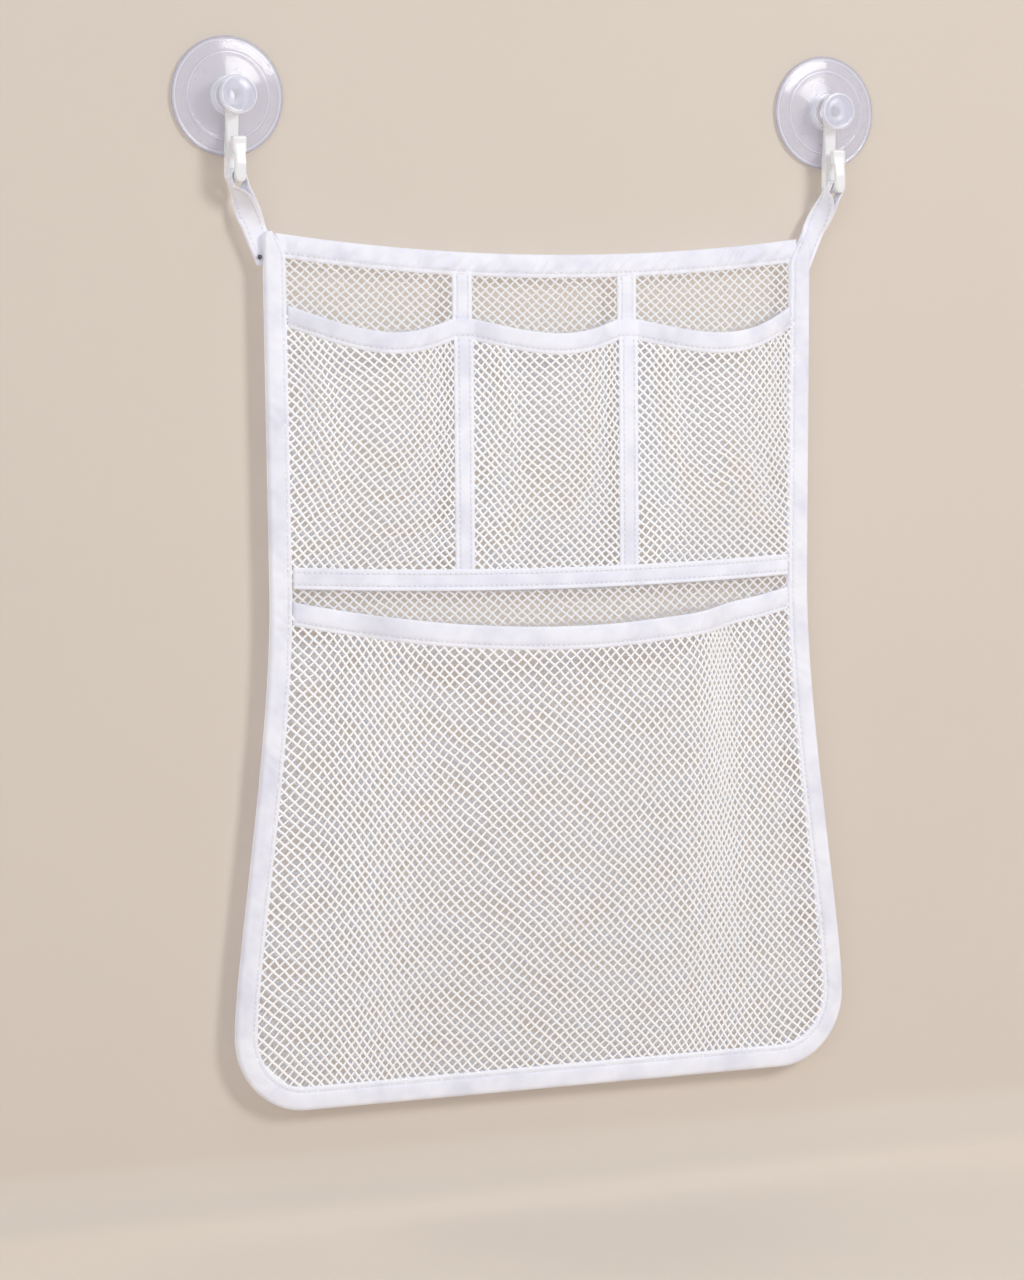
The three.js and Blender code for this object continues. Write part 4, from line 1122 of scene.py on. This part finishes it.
class ORGANIZER_OT_hooks(OrganizerOperator):
    """Moulded hooks: the CAD hooks with every edge rounded off"""

    bl_idname = "organizer.hooks"
    bl_label = "Hooks"

    def execute(self, context):
        material = plastic_material(context)
        for side in SIDES:
            node = f"{side}_hook"
            mesh = frame["nodes"][node].data.copy()
            mesh.name = f"moulded_{node}"
            work = bmesh.new()
            work.from_mesh(mesh)
            bmesh.ops.remove_doubles(work, verts=work.verts, dist=1e-6)
            work.to_mesh(mesh)
            work.free()
            rough = bpy.data.objects.new("rough_hook", mesh)
            context.scene.collection.objects.link(rough)
            remesh = rough.modifiers.new("Remesh", "REMESH")
            remesh.mode = "VOXEL"
            remesh.voxel_size = 0.35 * MM
            smooth = rough.modifiers.new("Smooth", "SMOOTH")
            smooth.factor = 0.5
            smooth.iterations = 24
            context.view_layer.update()
            evaluated = rough.evaluated_get(context.evaluated_depsgraph_get())
            final = bpy.data.meshes.new_from_object(evaluated)
            final.shade_smooth()
            final.materials.clear()
            final.materials.append(material)
            bpy.data.objects.remove(rough)
            piece = bpy.data.objects.new(f"moulded_{node}", final)
            context.scene.collection.objects.link(piece)
            dress(piece, node, "hook_plastic", node)
        return {"FINISHED"}


class ORGANIZER_OT_loops(OrganizerOperator):
    """Tape loops: each tape rises from its tail behind the edging, turns a quarter, goes round the
    hook's bar and comes back down"""

    bl_idname = "organizer.loops"
    bl_label = "Tape loops"

    def frames(self, sizes, sign):
        """Centres, width ways, thick ways and widths along the tape, from one tail's foot to the
        other's. The plies part from a small gap to the bar's radius as the tape twists; the tails
        hang upright behind the edging."""
        bar = joint_place("left_loop_turn", sign)
        hinge = joint_place("bag_swing", sign)
        lean = bar - hinge
        lean_angle = math.atan2(lean[0], lean[2])
        flat_way = np.array([1.0, 0, 0])
        cross_way = np.array([math.cos(lean_angle), 0, -math.sin(lean_angle)])
        deep_way = np.array([0, -1.0, 0])
        straight = sizes.bar_radius
        root_width = sizes.tape_width / math.cos(lean_angle)
        height = np.linspace(-sizes.tail, lean[2], 70)
        twist = np.clip(height / (lean[2] - straight), 0, 1)
        share = twist[:, None]
        turn = share * math.pi / 2
        middle = hinge + lean * (height / lean[2])[:, None]
        rounding = 4 * MM
        climb = (height + np.sqrt(height**2 + rounding**2)) / 2
        middle[:, 1] = hinge[1] + lean[1] * climb / climb[-1]
        level = unit(flat_way + (cross_way - flat_way) * share)
        wide = level * np.cos(turn) + deep_way * np.sin(turn)
        thick = level * np.sin(turn) - deep_way * np.cos(turn)
        radius = sizes.root_radius + (sizes.bar_radius - sizes.root_radius) * share**5
        width = root_width + (sizes.bar_width - root_width) * twist**8
        arch = np.linspace(math.pi, 0, 20)[1:-1, None]
        up = unit(lean * (1, 0, 1))
        outwards = cross_way * np.cos(arch) + up * np.sin(arch)
        top = bar + outwards * sizes.bar_radius
        centres = [middle - thick * radius, top, (middle + thick * radius)[::-1]]
        wides = [wide, np.broadcast_to(deep_way, outwards.shape), wide[::-1]]
        thicks = [-thick, outwards, thick[::-1]]
        widths = [width, np.full(len(arch), sizes.bar_width), width[::-1]]
        return tuple(np.concatenate(parts) for parts in (centres, wides, thicks, widths))

    def execute(self, context):
        material = tape_material(context)
        thread = thread_material("loop_thread", context.scene.organizer_colours.thread)
        angle = TURN * np.arange(24) / 24
        side_blunt, face_blunt, seam_share = 0.35, 0.8, 0.68
        round_x = np.sign(np.cos(angle)) * np.abs(np.cos(angle)) ** side_blunt
        round_y = np.sign(np.sin(angle)) * np.abs(np.sin(angle)) ** face_blunt
        rolled = 0.42 * MM * (1 + 0.35 * ease(np.abs(round_x), 0.6, 0.85))
        for side, sign in SIDES.items():
            centre, wide, thick, width = self.frames(context.scene.organizer_loops, sign)
            s = lengths_along(centre)
            uneven = 1 + 0.06 * drift(s, 14 * MM, 3 + sign)[:, None]
            grid = (
                centre[:, None]
                + wide[:, None] * (round_x * width[:, None] / 2)[..., None]
                + thick[:, None] * (round_y * rolled * uneven)[..., None]
            )
            quads, caps = skin(grid)
            inset = width[:, None] / 2 * (1 - np.abs(round_x))
            cloth = np.stack(np.broadcast_arrays(s[:, None], inset), axis=-1)
            piece = add_piece(f"woven_{side}_loop", grid, quads, caps, material, cloth)
            hinge = joint_place("bag_swing", sign)
            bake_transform(piece)
            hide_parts(f"{side}_loop", f"{side}_loop_tail")
            free = np.flatnonzero(centre[:, 2] > hinge[2] + 3 * MM)
            rows = []
            for share in (-seam_share, seam_share):
                line = centre + wide * (share * width / 2)[:, None] + thick * (0.5 * MM)
                rows.append((line[free], thick[free]))
            seams = stitches(context, f"{side}_loop_stitches", rows, thread)
            dress(seams, f"{side}_loop", "tape")
        return {"FINISHED"}


class ORGANIZER_OT_edging(OrganizerOperator):
    """Folded edging: round the sides and bottom, along the top, and along the pockets' rims"""

    bl_idname = "organizer.edging"
    bl_label = "Folded edging"

    def execute(self, context):
        material = tape_material(context)
        for tape in folded_tapes(Bag(context)):
            tape.make(f"folded_{tape.node}", material)
        return {"FINISHED"}


class ORGANIZER_OT_plain_tapes(OrganizerOperator):
    """Plain tapes: the hem band and the tapes over the upright seams"""

    bl_idname = "organizer.plain_tapes"
    bl_label = "Plain tapes"

    def execute(self, context):
        material = tape_material(context)
        for tape in plain_tapes(Bag(context)):
            tape.make(f"woven_{tape.node}", material)
        return {"FINISHED"}


class ORGANIZER_OT_seam_stitches(OrganizerOperator):
    """Every row of stitches along the bag's edging and tapes"""

    bl_idname = "organizer.seam_stitches"
    bl_label = "Seam stitches"

    def execute(self, context):
        bag = Bag(context)
        tapes = folded_tapes(bag) + plain_tapes(bag)
        rows = [seam for tape in tapes for seam in tape.seams]
        thread = thread_material("sewing_thread", context.scene.organizer_colours.thread)
        dress(stitches(context, "seam_stitches", rows, thread), "bag", "tape")
        return {"FINISHED"}


class ORGANIZER_OT_nets(OrganizerOperator):
    """Knitted nets: the bag's back and both sheets of pockets, sewn to the tapes made before"""

    bl_idname = "organizer.nets"
    bl_label = "Nets"

    def execute(self, context):
        bag = Bag(context)
        sizes, pocket, net = bag.sizes, bag.pocket, bag.net
        material = net_material(context)

        def sheet(node, held, tapes, *cloth, painted_cover_shade=None):
            """A net of the given cloth, riding on the bag and standing for its CAD node."""
            piece, flat, area = diamond_net(f"knitted_{node}", net, material, *cloth, painted_cover_shade)
            dress(piece, "bag", "net", node)
            area = min(area, flat[0] * flat[1])
            others = [bpy.data.objects[name] for name in tapes]

        small_cell = (net.diamond_width, net.diamond_height)
        large_cell = (net.large_width, net.large_height)
        sheet(
            "back_net",
            "stretched",
            ["folded_side_binding", "folded_top_binding", "seam_stitches"],
            bag.flat,
            bag.on_back,
            sizes.flare_half_width,
            (sizes.top_drop, sizes.bottom_drop),
            small_cell,
            # painted shade on the back net behind the pockets
            painted_cover_shade=bag.painted_cover_shade,
        )
        sheet(
            "pocket_panel_net",
            "gathered",
            ["folded_pocket_panel_rim", "woven_hem_band", *(f"woven_{node}" for node in UPRIGHTS)],
            bag.draped(bag.panel_swell, bag.panel_gather),
            bag.on_panel,
            sizes.flare_half_width + pocket.side_bulge,
            (pocket.outer_drop, pocket.hem_drop + 2 * pocket.tape_width),
            small_cell,
        )
        sheet(
            "large_pocket_net",
            "gathered",
            ["folded_large_pocket_rim"],
            bag.draped(bag.large_swell, bag.large_gather),
            bag.on_large,
            sizes.flare_half_width + pocket.large_bulge,
            (pocket.large_rim_drop, sizes.bottom_drop),
            large_cell,
        )
        return {"FINISHED"}


class ORGANIZER_OT_thread_knot(OrganizerOperator):
    """The loose thread knot on the left edge: a ball whose radius swings with both its angles"""

    bl_idname = "organizer.thread_knot"
    bl_label = "Thread knot"

    def execute(self, context):
        low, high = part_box("thread_knot")
        centre = np.array((low + high) / 2)
        radius = (high.x - low.x) / 2
        across = TURN * np.arange(28) / 28
        down = np.linspace(0.02, math.pi - 0.02, 20)[:, None]
        swing = radius * (0.86 + 0.12 * np.sin(4 * across + 5 * down))
        ball = (np.sin(down) * np.cos(across), np.sin(down) * np.sin(across), np.cos(down))
        grid = centre + np.stack(np.broadcast_arrays(*ball), axis=-1) * swing[..., None]
        quads, caps = skin(grid)
        material = thread_material("dark_thread", context.scene.organizer_colours.knot)
        piece = add_piece("wound_thread_knot", grid, quads, caps, material)
        dress(piece, "bag", "thread", "thread_knot")
        return {"FINISHED"}


class ORGANIZER_OT_stage(OrganizerOperator):
    """Floor and backdrop, soft studio lamps and the camera"""

    bl_idname = "organizer.stage"
    bl_label = "Stage"

    def backdrop(self, context):
        """One sheet: a level floor that turns up in a quarter circle into the wall that the cups
        grip. It is seen from its front only and casts no shadow, so the bag's back shows too."""
        settings = context.scene.organizer_stage
        floor = SIDE_LOW.z - settings.floor_drop
        back, radius, half_width, height, front = settings.backdrop_stand, 0.03, 4.0, 2.5, -4.0
        angle = np.linspace(0, math.pi / 2, 24)
        y = np.concatenate([[front], back - radius + radius * np.sin(angle), [back]])
        z = np.concatenate([[floor], floor + radius - radius * np.cos(angle), [height]])
        x = np.array([-half_width, half_width])
        grid = np.stack(np.broadcast_arrays(x, y[:, None], z[:, None]), axis=-1)
        index = np.arange(grid.shape[0] * 2).reshape(-1, 2)
        quads = np.stack([index[:-1, 0], index[:-1, 1], index[1:, 1], index[1:, 0]], axis=1)
        mesh = bpy.data.meshes.new("backdrop")
        mesh.from_pydata(grid.reshape(-1, 3).tolist(), [], quads.tolist())
        mesh.shade_smooth()
        finish = Finish("backdrop_paper")
        grain = finish.noise(6.0)
        base = context.scene.organizer_colours.backdrop
        pale = tuple(0.97 * value for value in base)
        finish.set(Base_Color=finish.mix(grain, base, pale), Roughness=0.9)
        behind = finish.node("ShaderNodeNewGeometry", output=6)
        shadow = finish.node("ShaderNodeLightPath", output=1)
        mesh.materials.append(finish.see_through(finish.math("MAXIMUM", behind, shadow)))
        sheet = bpy.data.objects.new("backdrop", mesh)
        context.scene.collection.objects.link(sheet)

    def lamp(self, context, name, place, width, power, tint):
        """A round soft lamp that looks at the bag."""
        light = bpy.data.lights.new(name, "AREA")
        light.shape = "DISK"
        light.size = width
        light.energy = power
        light.color = tint
        lamp = bpy.data.objects.new(name, light)
        lamp.location = place
        lamp.rotation_mode = "QUATERNION"
        lamp.rotation_quaternion = (LAMPS_AIM - Vector(place)).to_track_quat("-Z", "Y")
        context.scene.collection.objects.link(lamp)

    def camera(self, context):
        """Camera on a sphere round its target: back = (sin a cos e, -cos a cos e, sin e)."""
        settings = context.scene.organizer_stage
        a, e, roll = settings.azimuth, settings.elevation, settings.roll
        back = Vector((math.sin(a) * math.cos(e), -math.cos(a) * math.cos(e), math.sin(e)))
        right = Vector((math.cos(a), math.sin(a), 0))
        up = back.cross(right)
        turned = right * math.cos(roll) + up * math.sin(roll)
        camera = bpy.data.objects.new("camera", bpy.data.cameras.new("camera"))
        camera.data.lens = settings.lens
        rotation = Matrix((turned, back.cross(turned), back)).transposed().to_4x4()
        place = Vector(settings.target) + back * settings.distance
        camera.matrix_world = Matrix.Translation(place) @ rotation
        context.scene.collection.objects.link(camera)
        context.scene.camera = camera

    def execute(self, context):
        scene = context.scene
        self.camera(context)
        self.backdrop(context)
        for lamp in LAMPS:
            self.lamp(context, *lamp)
        world = bpy.data.worlds.new("world")
        world.use_nodes = True
        background = world.node_tree.nodes["Background"]
        background.inputs["Color"].default_value = WORLD_COLOUR
        background.inputs["Strength"].default_value = WORLD_STRENGTH
        scene.world = world
        scene.view_settings.view_transform = "Standard"
        return {"FINISHED"}


OPERATORS = (
    ORGANIZER_OT_stage,
    ORGANIZER_OT_suction_cups,
    ORGANIZER_OT_hooks,
    ORGANIZER_OT_loops,
    ORGANIZER_OT_edging,
    ORGANIZER_OT_plain_tapes,
    ORGANIZER_OT_seam_stitches,
    ORGANIZER_OT_nets,
    ORGANIZER_OT_thread_knot,
)

SETTINGS = {
    "organizer_bag": BagSizes,
    "organizer_pockets": PocketSizes,
    "organizer_loops": LoopSizes,
    "organizer_nets": NetSizes,
    "organizer_stitches": StitchSizes,
    "organizer_colours": Colours,
    "organizer_stage": StageSettings,
}


class ORGANIZER_PT_panel(bpy.types.Panel):
    bl_idname = "ORGANIZER_PT_panel"
    bl_label = "Hanging Mesh Organizer"
    bl_space_type = "VIEW_3D"
    bl_region_type = "UI"
    bl_category = "Organizer"

    def draw(self, context):
        for operator in OPERATORS:
            self.layout.operator(operator.bl_idname)
        for name in SETTINGS:
            settings = getattr(context.scene, name)
            box = self.layout.box()
            for key in settings.bl_rna.properties.keys():
                if key not in ("rna_type", "name"):
                    box.prop(settings, key)


def register():
    for group in (*SETTINGS.values(), *OPERATORS, ORGANIZER_PT_panel):
        bpy.utils.register_class(group)
    for name, group in SETTINGS.items():
        setattr(bpy.types.Scene, name, PointerProperty(type=group))


def unregister():
    for name in SETTINGS:
        delattr(bpy.types.Scene, name)
    for group in (ORGANIZER_PT_panel, *reversed(OPERATORS), *reversed(SETTINGS.values())):
        bpy.utils.unregister_class(group)


def main():
    register()
    bpy.ops.organizer.stage()
    bpy.ops.organizer.suction_cups()
    bpy.ops.organizer.hooks()
    bpy.ops.organizer.loops()
    bpy.ops.organizer.edging()
    bpy.ops.organizer.plain_tapes()
    bpy.ops.organizer.seam_stitches()
    bpy.ops.organizer.nets()
    bpy.ops.organizer.thread_knot()


if __name__ == "__main__":
    main()
